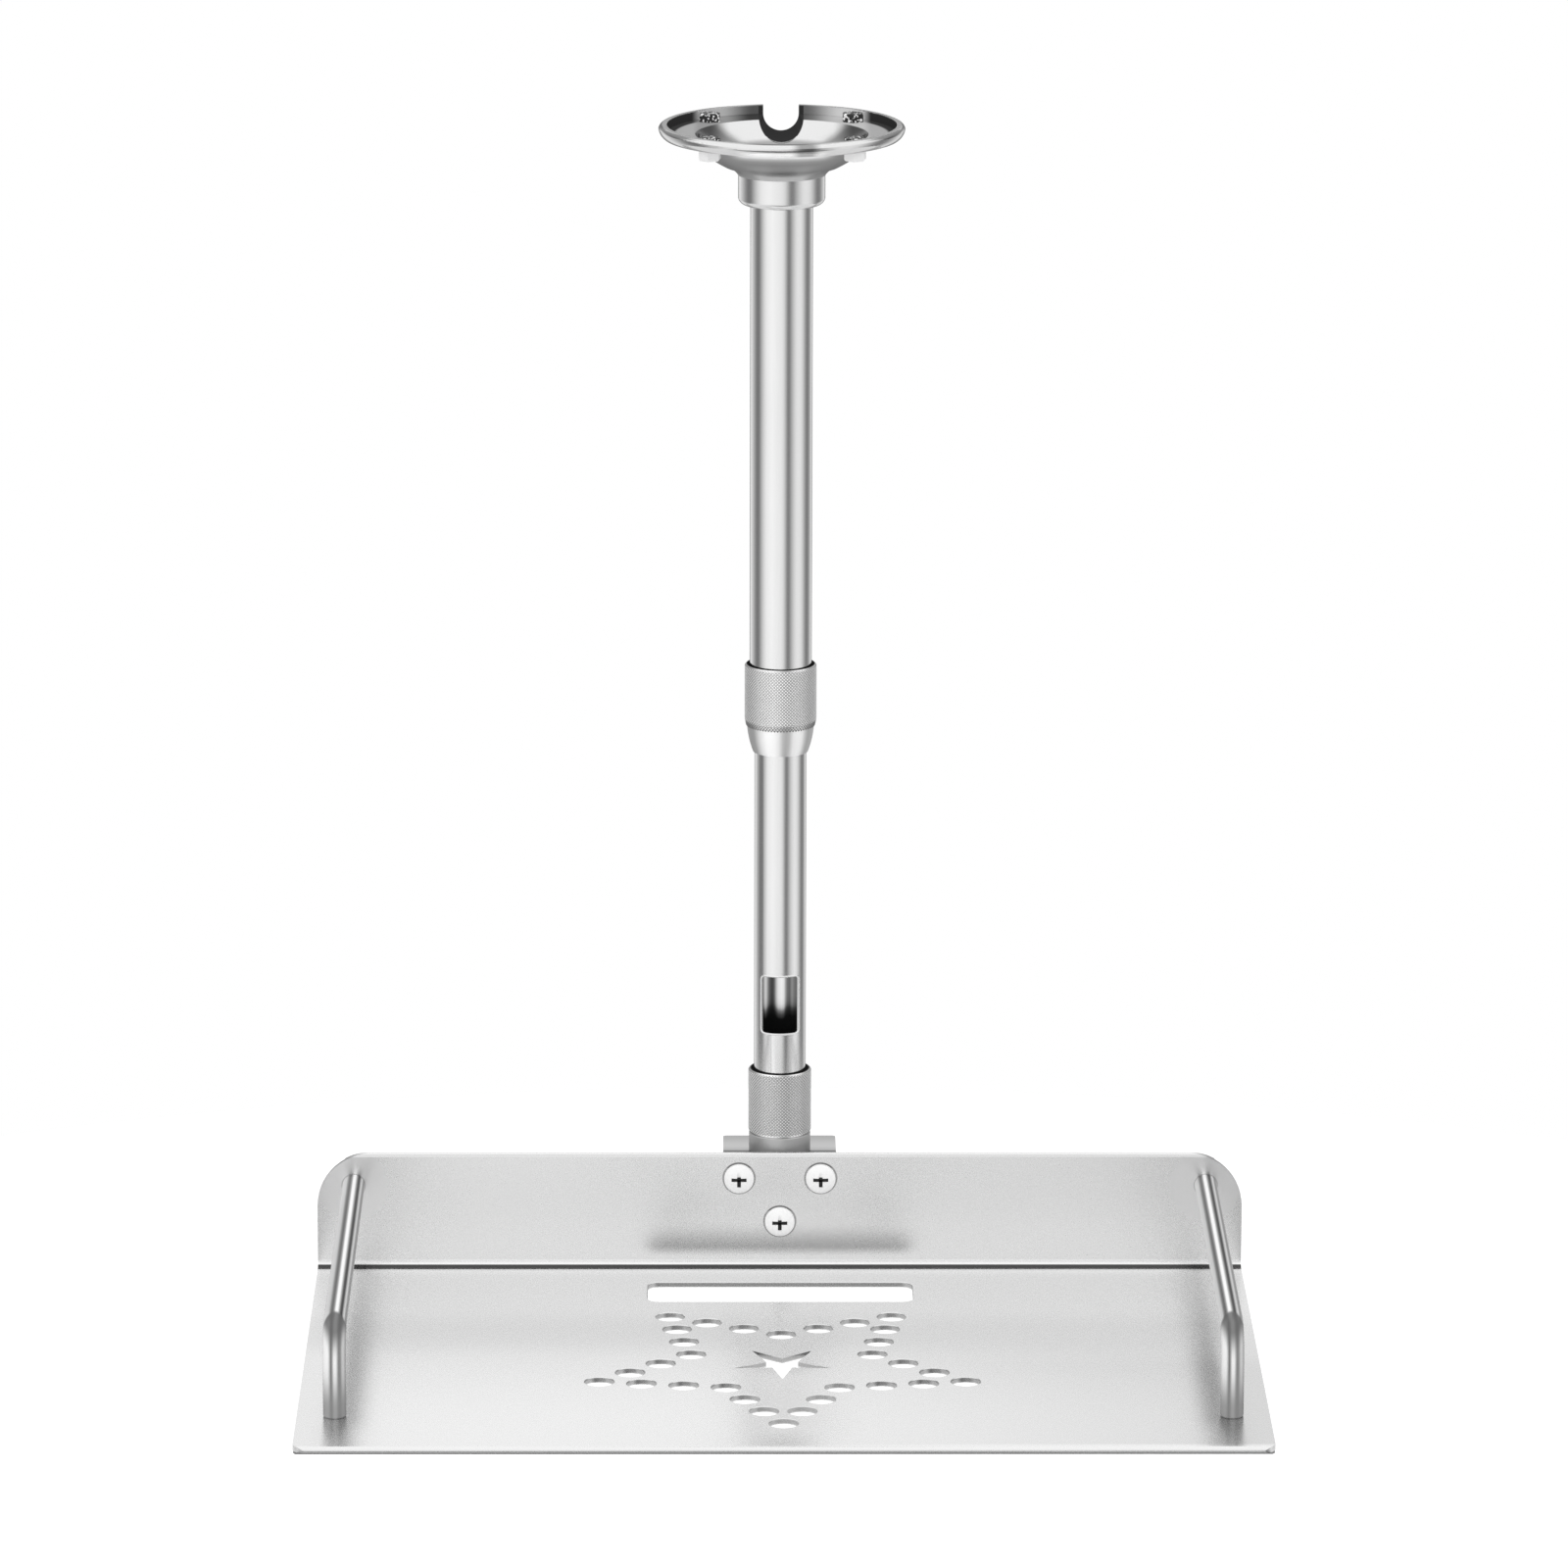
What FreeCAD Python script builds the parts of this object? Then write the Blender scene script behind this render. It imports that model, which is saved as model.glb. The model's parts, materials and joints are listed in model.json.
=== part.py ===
"""Projector ceiling mount: a ceiling cup, a telescopic pole with knurled collars, and a swivelling tray.

Sizes are in millimetres. The origin is the centre of the cup's ceiling face, Z points up, the pole
runs down the Z axis, and the tray opens towards -Y.
"""
import FreeCAD
import Part
import math
import os

Vector = FreeCAD.Vector
ORIGIN = Vector(0, 0, 0)
X_AXIS = Vector(1, 0, 0)
Y_AXIS = Vector(0, 1, 0)
Z_AXIS = Vector(0, 0, 1)

# Clearances
RUNNING_GAP = 0.3        # radial and end gap between pieces that turn or slide on each other
FITTED_GAP = 0.1         # radial gap of screwed and pressed joints
CUT_MARGIN = 1.0         # how far a cutter reaches past the face that it cuts

# Ceiling cup
CUP_DIAMETER = 98.0
CUP_HEIGHT = 20.0
RIM_WIDTH = 3.3          # plan width of the rim, from its inner wall to the outermost bead
RIM_LAND = 1.9           # flat ring that meets the ceiling
BEAD_DROP = 1.5          # from the ceiling face down to the widest line of the bead
BEAD_FOOT = 2.2          # how far the bead draws in at the underside of the shelf
BEAD_SAG = 0.5
SHELF_DROP = 3.7         # from the ceiling face down to the bolt shelf
SHELF_THICKNESS = 1.4
BOWL_MOUTH_DIAMETER = 69.4
BOWL_FLOOR_DIAMETER = 27.0
BOWL_WALL = 3.3          # measured along the radius at the mouth
BOWL_INNER_SAG = 0.9     # how far the bowl bellies out from a straight cone
BOWL_OUTER_SAG = 0.8
BOWL_WAIST_DIAMETER = 46.0  # line where the outside turns from its belly into the cove above the hub
BOWL_WAIST_RISE = 3.6       # from the hub's underside up to that line
COVE_SAG = 0.7
HUB_DIAMETER = 35.0
HUB_FLOOR = 5.3
CEILING_BOLT_CIRCLE = 81.0
CEILING_BOLT_HOLE = 5.5
CEILING_BOLT_COUNT = 4

# Cable channel through the back of the cup: U-shaped, wider and deeper towards the bowl
CHANNEL_OUTER_WIDTH = 14.2
CHANNEL_INNER_WIDTH = 17.8
CHANNEL_OUTER_DEPTH = 10.9
CHANNEL_INNER_DEPTH = 11.6
CHANNEL_INNER_END = 25.0     # from the pole's axis to the end in the bowl
CHANNEL_WALL = 2.0

# Neck collar under the cup
NECK_DIAMETER = 34.7
NECK_LENGTH = 12.0
NECK_ROUND_HEIGHT = 2.4
NECK_ROUND_WIDTH = 3.6
NECK_ROUND_SAG = 0.8

# Upper tube
UPPER_TUBE_DIAMETER = 25.0
UPPER_TUBE_WALL = 1.5
UPPER_TUBE_LENGTH = 209.3

# Split clamp sleeve on the end of the upper tube
COLLET_DIAMETER = 25.8
COLLET_LENGTH = 22.0
COLLET_NOSE_DIAMETER = 23.6
COLLET_TAPER = 6.0
COLLET_SLIT = 1.2
COLLET_SLIT_LENGTH = 14.0
COLLET_SLIT_COUNT = 4

# Knurled lock collar
LOCK_COLLAR_WALL = 1.0       # around the clamp sleeve
LOCK_COLLAR_OVERLAP = 4.4    # how far it reaches up over the upper tube
LOCK_MOUTH_GAP = 1.2         # open ring between its top edge and the upper tube
LOCK_KNURL_LENGTH = 25.6
LOCK_FOOT_HEIGHT = 3.0       # drawn-in foot of the knurl, above the smooth nose
LOCK_FOOT_DRAW = 0.7
LOCK_FOOT_SAG = 0.1
LOCK_NOSE_LENGTH = 10.6
LOCK_NOSE_SAG = 0.4
LOCK_LIP = 0.3               # wall left at the mouth that the lower tube leaves by
EDGE_CHAMFER = 0.3

# Lower tube
LOWER_TUBE_DIAMETER = 21.0
LOWER_TUBE_WALL = 1.5
LOWER_TUBE_LENGTH = 241.4
INSERTED_LENGTH = 67.0       # length inside the upper tube as shown
WINDOW_WIDTH = 13.9
WINDOW_HEIGHT = 24.3
WINDOW_RISE = 26.4           # from the tube's lower end to the window's sill
WINDOW_CORNER = 1.5

# Swivel at the foot of the pole
LOWER_BUSH_LENGTH = 8.0
LOWER_BUSH_BORE = 16.0
SWIVEL_COLLAR_DIAMETER = 25.0
SWIVEL_COLLAR_WALL = 0.8
SWIVEL_COLLAR_OVERLAP = 9.7  # how far it reaches up over the lower tube
SWIVEL_LIP = 3.2             # thickness of the inner lip that holds the post's head
POST_HEAD_THICKNESS = 5.0
POST_STEM_DIAMETER = 14.0
POST_BASE_DIAMETER = 25.0
POST_BASE_HEIGHT = 7.7

# Tray bracket
BRACKET_WIDTH = 46.0
BRACKET_THICKNESS = 4.0
BRACKET_DEPTH = 35.6
BRACKET_HEIGHT = 36.0
BRACKET_BEND = 1.5
BRACKET_CORNER = 1.5

# Tray
SHEET = 2.2
EDGE_BEAD = 3.2              # thickness of the rounded bead along the front edge and the wall's top
EDGE_REACH = 3.0             # how far the bead runs in from its edge
TRAY_WIDTH = 376.0
TRAY_DEPTH = 235.9           # from the wall's back face to the front edge
TRAY_WALL_HEIGHT = 48.0      # above the floor
TRAY_BEND = 2.5
WALL_RISE = 3.4              # from the bracket's top up to the wall's top edge
WALL_SETBACK = 16.3          # from the pole's axis to the wall's back face
WALL_CORNER = 22.5
FRONT_CORNER = 4.5
SLOT_WIDTH = 107.0
SLOT_DEPTH = 26.5
SLOT_CORNER = 5.0
SLOT_SETBACK = 34.4          # from the wall's front face to the slot's middle

# Vent pattern: round holes on the outline of a five-pointed star, with a small star in its middle
STAR_FRONT_GAP = 23.8        # from the tray's front edge to the nearest vent
STAR_SLOT_GAP = 14.5         # from the cable slot to the nearest vents
STAR_POINTS = 5
STAR_INNER_RADIUS = 37.6
STAR_HOLE = 11.5
VENT_ROUND = 0.5             # rounding of the upper edges of the round vents and the cable slot
HOLES_PER_EDGE = 3
SMALL_STAR_RADIUS = 20.1
SMALL_STAR_INNER_RADIUS = 6.6

# Side rails
RAIL_DIAMETER = 9.0
RAIL_INSET = 14.8            # from the tray's side edge to the rod's axis
RAIL_DROP = 13.5             # from the wall's top edge to the rod's axis
RAIL_FRONT_GAP = 38.7        # from the tray's front edge to the axis of the front leg
RAIL_BEND = 14.0             # bend radius at the rod's axis
RAIL_FOOT_ROUND = 0.8

# Screws
TRAY_SCREW_HEAD = 12.0
TRAY_SCREW_HEAD_HEIGHT = 3.4
TRAY_SCREW_SHANK = 6.0
TRAY_SCREW_SPACING = 33.2
TRAY_SCREW_DROP = 10.5       # from the wall's top edge to the upper pair
TRAY_SCREW_STEP = 18.2       # from the upper pair down to the third
TRAY_SCREW_TIP = 1.5         # length that shows behind the bracket
RAIL_SCREW_HEAD = 9.0
RAIL_SCREW_HEAD_HEIGHT = 2.6
RAIL_SCREW_SHANK = 5.0
RAIL_SCREW_DEPTH = 10.0      # length inside the rod
SCREW_HEAD_EDGE = 0.35       # straight rim of a screw head, as a share of its height
RECESS_SPAN = 0.52           # cross recess, as shares of the head's diameter and height
RECESS_ARM = 0.13
RECESS_DEPTH = 0.6

# Heights down the pole, from the ceiling face
CUP_RADIUS = CUP_DIAMETER / 2
SHELF_TOP = -SHELF_DROP
HUB_BOTTOM = -CUP_HEIGHT
NECK_BOTTOM = HUB_BOTTOM - NECK_LENGTH
UPPER_TUBE_TOP = HUB_BOTTOM + HUB_FLOOR
UPPER_TUBE_END = UPPER_TUBE_TOP - UPPER_TUBE_LENGTH
COLLET_END = UPPER_TUBE_END - COLLET_LENGTH
LOCK_COLLAR_TOP = UPPER_TUBE_END + LOCK_COLLAR_OVERLAP
LOCK_KNURL_END = LOCK_COLLAR_TOP - LOCK_KNURL_LENGTH
LOCK_COLLAR_END = LOCK_KNURL_END - LOCK_NOSE_LENGTH
LOWER_TUBE_TOP = UPPER_TUBE_END + INSERTED_LENGTH
LOWER_TUBE_END = LOWER_TUBE_TOP - LOWER_TUBE_LENGTH
LOWER_BUSH_END = LOWER_TUBE_END - LOWER_BUSH_LENGTH
POST_HEAD_TOP = LOWER_BUSH_END - RUNNING_GAP
POST_HEAD_BOTTOM = POST_HEAD_TOP - POST_HEAD_THICKNESS
SWIVEL_LIP_TOP = POST_HEAD_BOTTOM - RUNNING_GAP
SWIVEL_COLLAR_TOP = LOWER_TUBE_END + SWIVEL_COLLAR_OVERLAP
SWIVEL_COLLAR_END = SWIVEL_LIP_TOP - SWIVEL_LIP
POST_BASE_TOP = SWIVEL_COLLAR_END - RUNNING_GAP
BRACKET_TOP = POST_BASE_TOP - POST_BASE_HEIGHT
WALL_TOP = BRACKET_TOP + WALL_RISE
FLOOR_TOP = WALL_TOP - TRAY_WALL_HEIGHT
FLOOR_BOTTOM = FLOOR_TOP - SHEET
EDGE_BOTTOM = FLOOR_TOP - EDGE_BEAD

# Radii on the pole
UPPER_TUBE_RADIUS = UPPER_TUBE_DIAMETER / 2
UPPER_TUBE_BORE = UPPER_TUBE_RADIUS - UPPER_TUBE_WALL
LOWER_TUBE_RADIUS = LOWER_TUBE_DIAMETER / 2
LOWER_TUBE_BORE = LOWER_TUBE_RADIUS - LOWER_TUBE_WALL
TUBE_PASSAGE = LOWER_TUBE_RADIUS + RUNNING_GAP
LOCK_BORE = COLLET_DIAMETER / 2 + RUNNING_GAP
LOCK_COLLAR_RADIUS = LOCK_BORE + LOCK_COLLAR_WALL
SWIVEL_BORE = SWIVEL_COLLAR_DIAMETER / 2 - SWIVEL_COLLAR_WALL
SWIVEL_INSIDE = SWIVEL_BORE - RUNNING_GAP

# Places on the tray
WALL_BACK = -WALL_SETBACK
WALL_FRONT = WALL_BACK - SHEET
EDGE_BACK = WALL_FRONT + EDGE_BEAD
FRONT_EDGE = WALL_BACK - TRAY_DEPTH
SIDE_EDGE = TRAY_WIDTH / 2
RAIL_X = SIDE_EDGE - RAIL_INSET
RAIL_HEIGHT = WALL_TOP - RAIL_DROP
RAIL_LEG = FRONT_EDGE + RAIL_FRONT_GAP
SLOT_MIDDLE = WALL_FRONT - SLOT_SETBACK
FIRST_VENT = FRONT_EDGE + STAR_FRONT_GAP + STAR_HOLE / 2
LAST_VENTS = SLOT_MIDDLE - SLOT_DEPTH / 2 - STAR_SLOT_GAP - STAR_HOLE / 2
STAR_RADIUS = (LAST_VENTS - FIRST_VENT) / (1 + math.cos(math.pi / STAR_POINTS))
STAR_MIDDLE = FIRST_VENT + STAR_RADIUS
UPPER_SCREWS = WALL_TOP - TRAY_SCREW_DROP
LOWER_SCREW = UPPER_SCREWS - TRAY_SCREW_STEP
TRAY_SCREW_PLACES = {
    "left_tray_screw": (-TRAY_SCREW_SPACING / 2, UPPER_SCREWS),
    "right_tray_screw": (TRAY_SCREW_SPACING / 2, UPPER_SCREWS),
    "lower_tray_screw": (0.0, LOWER_SCREW),
}
SIDES = {"left": -1, "right": 1}


def radial(point):
    """Point of a turned section, given as radius and height."""
    return Vector(point[0], 0, point[1])


def closed_face(start, steps, place):
    """Face inside an outline; a step is an end point, or a (via, end) pair of points for an arc."""
    edges = []
    here = start
    for step in (*steps, start):
        if isinstance(step[0], tuple):
            via, end = step
            edges.append(Part.Arc(place(here), place(via), place(end)).toShape())
        else:
            end = step
            edges.append(Part.makeLine(place(here), place(end)))
        here = end
    return Part.Face(Part.Wire(edges))


def turned(start, *steps):
    """Solid of revolution about the Z axis."""
    return closed_face(start, steps, radial).revolve(ORIGIN, Z_AXIS, 360)


def bellied(start, end, sag):
    """Arc step that bellies to the left of the way from start to end, seen along -Y."""
    run = end[0] - start[0]
    rise = end[1] - start[1]
    span = math.hypot(run, rise)
    middle = ((start[0] + end[0]) / 2 - sag * rise / span, (start[1] + end[1]) / 2 + sag * run / span)
    return middle, end


def ring(inner, outer, top, bottom):
    """Plain tube between two heights."""
    return turned((inner, top), (outer, top), (outer, bottom), (inner, bottom))


def drill(radius, place, direction, length):
    """Cylinder that starts at a place and runs along a direction."""
    return Part.makeCylinder(radius, length, place, direction)


def rounded_outline(low, high, radii):
    """Face in the XY plane; radii run anticlockwise from the low corner, and zero keeps a corner sharp."""
    corners = [low, (high[0], low[1]), high, (low[0], high[1])]
    inward = [(1, 1), (-1, 1), (-1, -1), (1, -1)]
    stops = []
    for index, ((x, y), (side, rise), radius) in enumerate(zip(corners, inward, radii)):
        along_x = (x + side * radius, y)
        along_y = (x, y + rise * radius)
        near = radius * (1 - math.sqrt(0.5))
        via = (x + side * near, y + rise * near)
        entry, leave = (along_y, along_x) if index % 2 == 0 else (along_x, along_y)
        stops.append(entry)
        if radius > 0:
            stops.append((via, leave))
    return closed_face(stops[0], stops[1:], lambda point: Vector(point[0], point[1], 0))


def upright(face):
    """Turn a face of the XY plane so that its Y becomes Z."""
    return face.rotated(ORIGIN, X_AXIS, 90)


def star_points(outer, inner):
    """Corners of a star around the origin, starting at the point that faces -Y."""
    points = []
    for index in range(2 * STAR_POINTS):
        radius = outer if index % 2 == 0 else inner
        angle = -math.pi / 2 + index * math.pi / STAR_POINTS
        points.append(Vector(radius * math.cos(angle), radius * math.sin(angle), 0))
    return points


def vent_places():
    """Middles of the round vents, evenly spaced along every edge of the large star."""
    corners = star_points(STAR_RADIUS, STAR_INNER_RADIUS)
    places = []
    for here, following in zip(corners, corners[1:] + corners[:1]):
        for step in range(HOLES_PER_EDGE):
            places.append(here + (following - here) * (step / HOLES_PER_EDGE))
    return places


def ceiling_flange():
    """Cast cup with a beaded rim, a flat shelf for the bolts, a bowl, and a cable channel at the back."""
    cup = cup_body().fuse(channel_boss()).cut(cup_cavity())
    bore = UPPER_TUBE_RADIUS + FITTED_GAP
    cutters = [channel_prism(0, CUT_MARGIN), drill(bore, ORIGIN, -Z_AXIS, CUP_HEIGHT + CUT_MARGIN)]
    for index in range(CEILING_BOLT_COUNT):
        angle = math.radians(45 + index * 360 / CEILING_BOLT_COUNT)
        place = Vector(math.cos(angle), math.sin(angle), 0) * (CEILING_BOLT_CIRCLE / 2)
        cutters.append(drill(CEILING_BOLT_HOLE / 2, place, -Z_AXIS, CUP_HEIGHT))
    return cup.cut(cutters).removeSplitter()


def cup_body():
    """Outside of the cup as a filled turned solid."""
    shelf_bottom = SHELF_TOP - SHELF_THICKNESS
    land_edge = (CUP_RADIUS - RIM_WIDTH + RIM_LAND, 0)
    bead = (CUP_RADIUS, -BEAD_DROP)
    bead_foot = (CUP_RADIUS - BEAD_FOOT, shelf_bottom)
    bowl_top = (BOWL_MOUTH_DIAMETER / 2 + BOWL_WALL, shelf_bottom)
    waist = (BOWL_WAIST_DIAMETER / 2, HUB_BOTTOM + BOWL_WAIST_RISE)
    hub = (HUB_DIAMETER / 2, HUB_BOTTOM)
    return turned(
        (0, 0),
        land_edge,
        bellied(land_edge, bead, BEAD_SAG / 2),
        bellied(bead, bead_foot, BEAD_SAG),
        bowl_top,
        bellied(bowl_top, waist, BOWL_OUTER_SAG),
        bellied(waist, hub, -COVE_SAG),
        (0, HUB_BOTTOM),
    )


def cup_cavity():
    """Space inside the rim, above the shelf and in the bowl."""
    rim_inner = CUP_RADIUS - RIM_WIDTH
    mouth = (BOWL_MOUTH_DIAMETER / 2, SHELF_TOP)
    bowl_floor = (BOWL_FLOOR_DIAMETER / 2, UPPER_TUBE_TOP)
    return turned(
        (0, CUT_MARGIN),
        (0, UPPER_TUBE_TOP),
        bowl_floor,
        bellied(bowl_floor, mouth, -BOWL_INNER_SAG),
        (rim_inner, SHELF_TOP),
        (rim_inner, CUT_MARGIN),
    )


def channel_outline(place, width, depth, top):
    """Upright U-shaped wire across the channel at a distance behind the pole's axis."""
    half = width / 2
    turn = half - depth
    face = closed_face(
        (-half, top),
        [(-half, turn), ((0, -depth), (half, turn)), (half, top)],
        lambda point: Vector(point[0], place, point[1]),
    )
    return face.OuterWire


def channel_prism(wall, top):
    """Tapered U-shaped prism of the channel, grown by a wall all round, up to a height."""
    inner_width = CHANNEL_INNER_WIDTH + 2 * wall
    outer_width = CHANNEL_OUTER_WIDTH + 2 * wall
    inner = channel_outline(CHANNEL_INNER_END, inner_width, CHANNEL_INNER_DEPTH + wall, top)
    outer = channel_outline(CUP_RADIUS, outer_width, CHANNEL_OUTER_DEPTH + wall, top)
    if wall > 0:
        return Part.makeLoft([inner, outer], True, True)
    mouth = Part.Face(outer).extrude(Y_AXIS * CUT_MARGIN)
    heel = Part.Face(inner).extrude(-Y_AXIS * (CHANNEL_INNER_END - BOWL_FLOOR_DIAMETER / 2))
    return Part.makeLoft([inner, outer], True, True).fuse([mouth, heel])


def channel_boss():
    """Trough that carries the channel from the bowl out to the rim, trimmed round with the bead."""
    widest = Vector(0, 0, -BEAD_DROP)
    return channel_prism(CHANNEL_WALL, 0).common(drill(CUP_RADIUS, widest, -Z_AXIS, CUP_HEIGHT))


def neck_collar():
    """Ring that holds the upper tube under the cup, with a broadly rounded foot."""
    outer = NECK_DIAMETER / 2
    bore = UPPER_TUBE_RADIUS + FITTED_GAP
    round_start = (outer, NECK_BOTTOM + NECK_ROUND_HEIGHT)
    return turned(
        (bore, HUB_BOTTOM),
        (outer, HUB_BOTTOM),
        round_start,
        bellied(round_start, (outer - NECK_ROUND_WIDTH, NECK_BOTTOM), NECK_ROUND_SAG),
        (bore, NECK_BOTTOM),
    )


def upper_tube():
    """Fixed outer tube of the pole."""
    return ring(UPPER_TUBE_BORE, UPPER_TUBE_RADIUS, UPPER_TUBE_TOP, UPPER_TUBE_END)


def clamp_collet():
    """Slit sleeve on the end of the upper tube; the lock collar squeezes its nose on the lower tube."""
    outer = COLLET_DIAMETER / 2
    nose = COLLET_NOSE_DIAMETER / 2
    sleeve = turned(
        (TUBE_PASSAGE, UPPER_TUBE_END),
        (outer, UPPER_TUBE_END),
        (outer, COLLET_END + COLLET_TAPER),
        (nose, COLLET_END),
        (TUBE_PASSAGE, COLLET_END),
    )
    for index in range(COLLET_SLIT_COUNT):
        slit = Part.makeBox(
            COLLET_DIAMETER,
            COLLET_SLIT,
            COLLET_SLIT_LENGTH + CUT_MARGIN,
            Vector(0, -COLLET_SLIT / 2, COLLET_END - CUT_MARGIN),
        )
        slit.rotate(ORIGIN, Z_AXIS, 45 + index * 360 / COLLET_SLIT_COUNT)
        sleeve = sleeve.cut(slit)
    return sleeve


def lock_collar():
    """Knurled collar over the joint of the two tubes, with a smooth nose that runs down to the lower tube."""
    outer = LOCK_COLLAR_RADIUS
    mouth = UPPER_TUBE_RADIUS + LOCK_MOUTH_GAP
    seat = COLLET_NOSE_DIAMETER / 2 + RUNNING_GAP
    foot = (outer, LOCK_KNURL_END + LOCK_FOOT_HEIGHT)
    nose = (outer - LOCK_FOOT_DRAW, LOCK_KNURL_END)
    tip = (TUBE_PASSAGE + LOCK_LIP, LOCK_COLLAR_END)
    return turned(
        (mouth, LOCK_COLLAR_TOP),
        (outer - EDGE_CHAMFER, LOCK_COLLAR_TOP),
        (outer, LOCK_COLLAR_TOP - EDGE_CHAMFER),
        foot,
        bellied(foot, nose, LOCK_FOOT_SAG),
        bellied(nose, tip, LOCK_NOSE_SAG),
        (TUBE_PASSAGE, LOCK_COLLAR_END),
        (TUBE_PASSAGE, COLLET_END - RUNNING_GAP),
        (seat, COLLET_END - RUNNING_GAP),
        (LOCK_BORE, COLLET_END + COLLET_TAPER),
        (LOCK_BORE, UPPER_TUBE_END + RUNNING_GAP),
        (mouth, UPPER_TUBE_END + RUNNING_GAP),
    )


def lower_tube():
    """Sliding inner tube with the cable window in its front."""
    tube = ring(LOWER_TUBE_BORE, LOWER_TUBE_RADIUS, LOWER_TUBE_TOP, LOWER_TUBE_END)
    sill = LOWER_TUBE_END + WINDOW_RISE
    outline = rounded_outline(
        (-WINDOW_WIDTH / 2, sill),
        (WINDOW_WIDTH / 2, sill + WINDOW_HEIGHT),
        [WINDOW_CORNER] * 4,
    )
    return tube.cut(upright(outline).extrude(-Y_AXIS * LOWER_TUBE_DIAMETER))


def lower_bush():
    """End ring of the lower tube that the swivel collar grips."""
    return turned(
        (LOWER_BUSH_BORE / 2, LOWER_TUBE_END),
        (SWIVEL_INSIDE - EDGE_CHAMFER, LOWER_TUBE_END),
        (SWIVEL_INSIDE, LOWER_TUBE_END - EDGE_CHAMFER),
        (SWIVEL_INSIDE, LOWER_BUSH_END),
        (LOWER_BUSH_BORE / 2, LOWER_BUSH_END),
    )


def swivel_collar():
    """Knurled collar at the foot of the pole; its inner lip carries the head of the tray's post."""
    outer = SWIVEL_COLLAR_DIAMETER / 2
    stem_hole = POST_STEM_DIAMETER / 2 + RUNNING_GAP
    return turned(
        (SWIVEL_BORE, SWIVEL_COLLAR_TOP),
        (outer - EDGE_CHAMFER, SWIVEL_COLLAR_TOP),
        (outer, SWIVEL_COLLAR_TOP - EDGE_CHAMFER),
        (outer, SWIVEL_COLLAR_END + EDGE_CHAMFER),
        (outer - EDGE_CHAMFER, SWIVEL_COLLAR_END),
        (stem_hole, SWIVEL_COLLAR_END),
        (stem_hole, SWIVEL_LIP_TOP),
        (SWIVEL_BORE, SWIVEL_LIP_TOP),
    )


def swivel_post():
    """Headed post that stands on the bracket and turns in the swivel collar."""
    stem = POST_STEM_DIAMETER / 2
    base = POST_BASE_DIAMETER / 2
    return turned(
        (0, POST_HEAD_TOP),
        (SWIVEL_INSIDE - EDGE_CHAMFER, POST_HEAD_TOP),
        (SWIVEL_INSIDE, POST_HEAD_TOP - EDGE_CHAMFER),
        (SWIVEL_INSIDE, POST_HEAD_BOTTOM),
        (stem, POST_HEAD_BOTTOM),
        (stem, POST_BASE_TOP),
        (base - EDGE_CHAMFER, POST_BASE_TOP),
        (base, POST_BASE_TOP - EDGE_CHAMFER),
        (base, BRACKET_TOP),
        (0, BRACKET_TOP),
    )


def side_section(start, *steps):
    """Face in the YZ plane, from points given as Y and Z."""
    return closed_face(start, steps, lambda point: Vector(0, point[0], point[1]))


def quarter(centre, radius, toward):
    """Point on an arc's middle, at 45 degrees from its centre towards a corner."""
    reach = radius * math.sqrt(0.5)
    return (centre[0] + toward[0] * reach, centre[1] + toward[1] * reach)


def tray_bracket():
    """Bent plate: its upright leg backs the tray's wall, and its level leg carries the post."""
    back = WALL_BACK + BRACKET_DEPTH
    foot = BRACKET_TOP - BRACKET_HEIGHT
    leg_back = WALL_BACK + BRACKET_THICKNESS
    underside = BRACKET_TOP - BRACKET_THICKNESS
    outer_bend = BRACKET_BEND + BRACKET_THICKNESS
    centre = (WALL_BACK + outer_bend, BRACKET_TOP - outer_bend)
    section = side_section(
        (WALL_BACK, foot),
        (WALL_BACK, centre[1]),
        (quarter(centre, outer_bend, (-1, 1)), (centre[0], BRACKET_TOP)),
        (back, BRACKET_TOP),
        (back, underside),
        (centre[0], underside),
        (quarter(centre, BRACKET_BEND, (-1, 1)), (leg_back, centre[1])),
        (leg_back, foot),
    )
    half = BRACKET_WIDTH / 2
    plate = section.extrude(X_AXIS * BRACKET_WIDTH).translated(-X_AXIS * half)
    front_view = rounded_outline((-half, foot), (half, BRACKET_TOP), [BRACKET_CORNER, BRACKET_CORNER, 0, 0])
    front_prism = upright(front_view).extrude(Y_AXIS * BRACKET_DEPTH).translated(Y_AXIS * WALL_BACK)
    plan = rounded_outline((-half, WALL_BACK), (half, back), [0, 0, BRACKET_CORNER, BRACKET_CORNER])
    plan_prism = plan.extrude(Z_AXIS * BRACKET_HEIGHT).translated(Z_AXIS * foot)
    plate = plate.common(front_prism).common(plan_prism)
    return plate.cut([tray_screw_hole(place) for place in TRAY_SCREW_PLACES.values()])


def tray_screw_hole(place):
    """Hole through the tray's wall and the bracket's upright leg."""
    x, z = place
    start = Vector(x, WALL_FRONT - CUT_MARGIN, z)
    length = SHEET + BRACKET_THICKNESS + 2 * CUT_MARGIN
    return drill(TRAY_SCREW_SHANK / 2 + FITTED_GAP, start, Y_AXIS, length)


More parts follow.
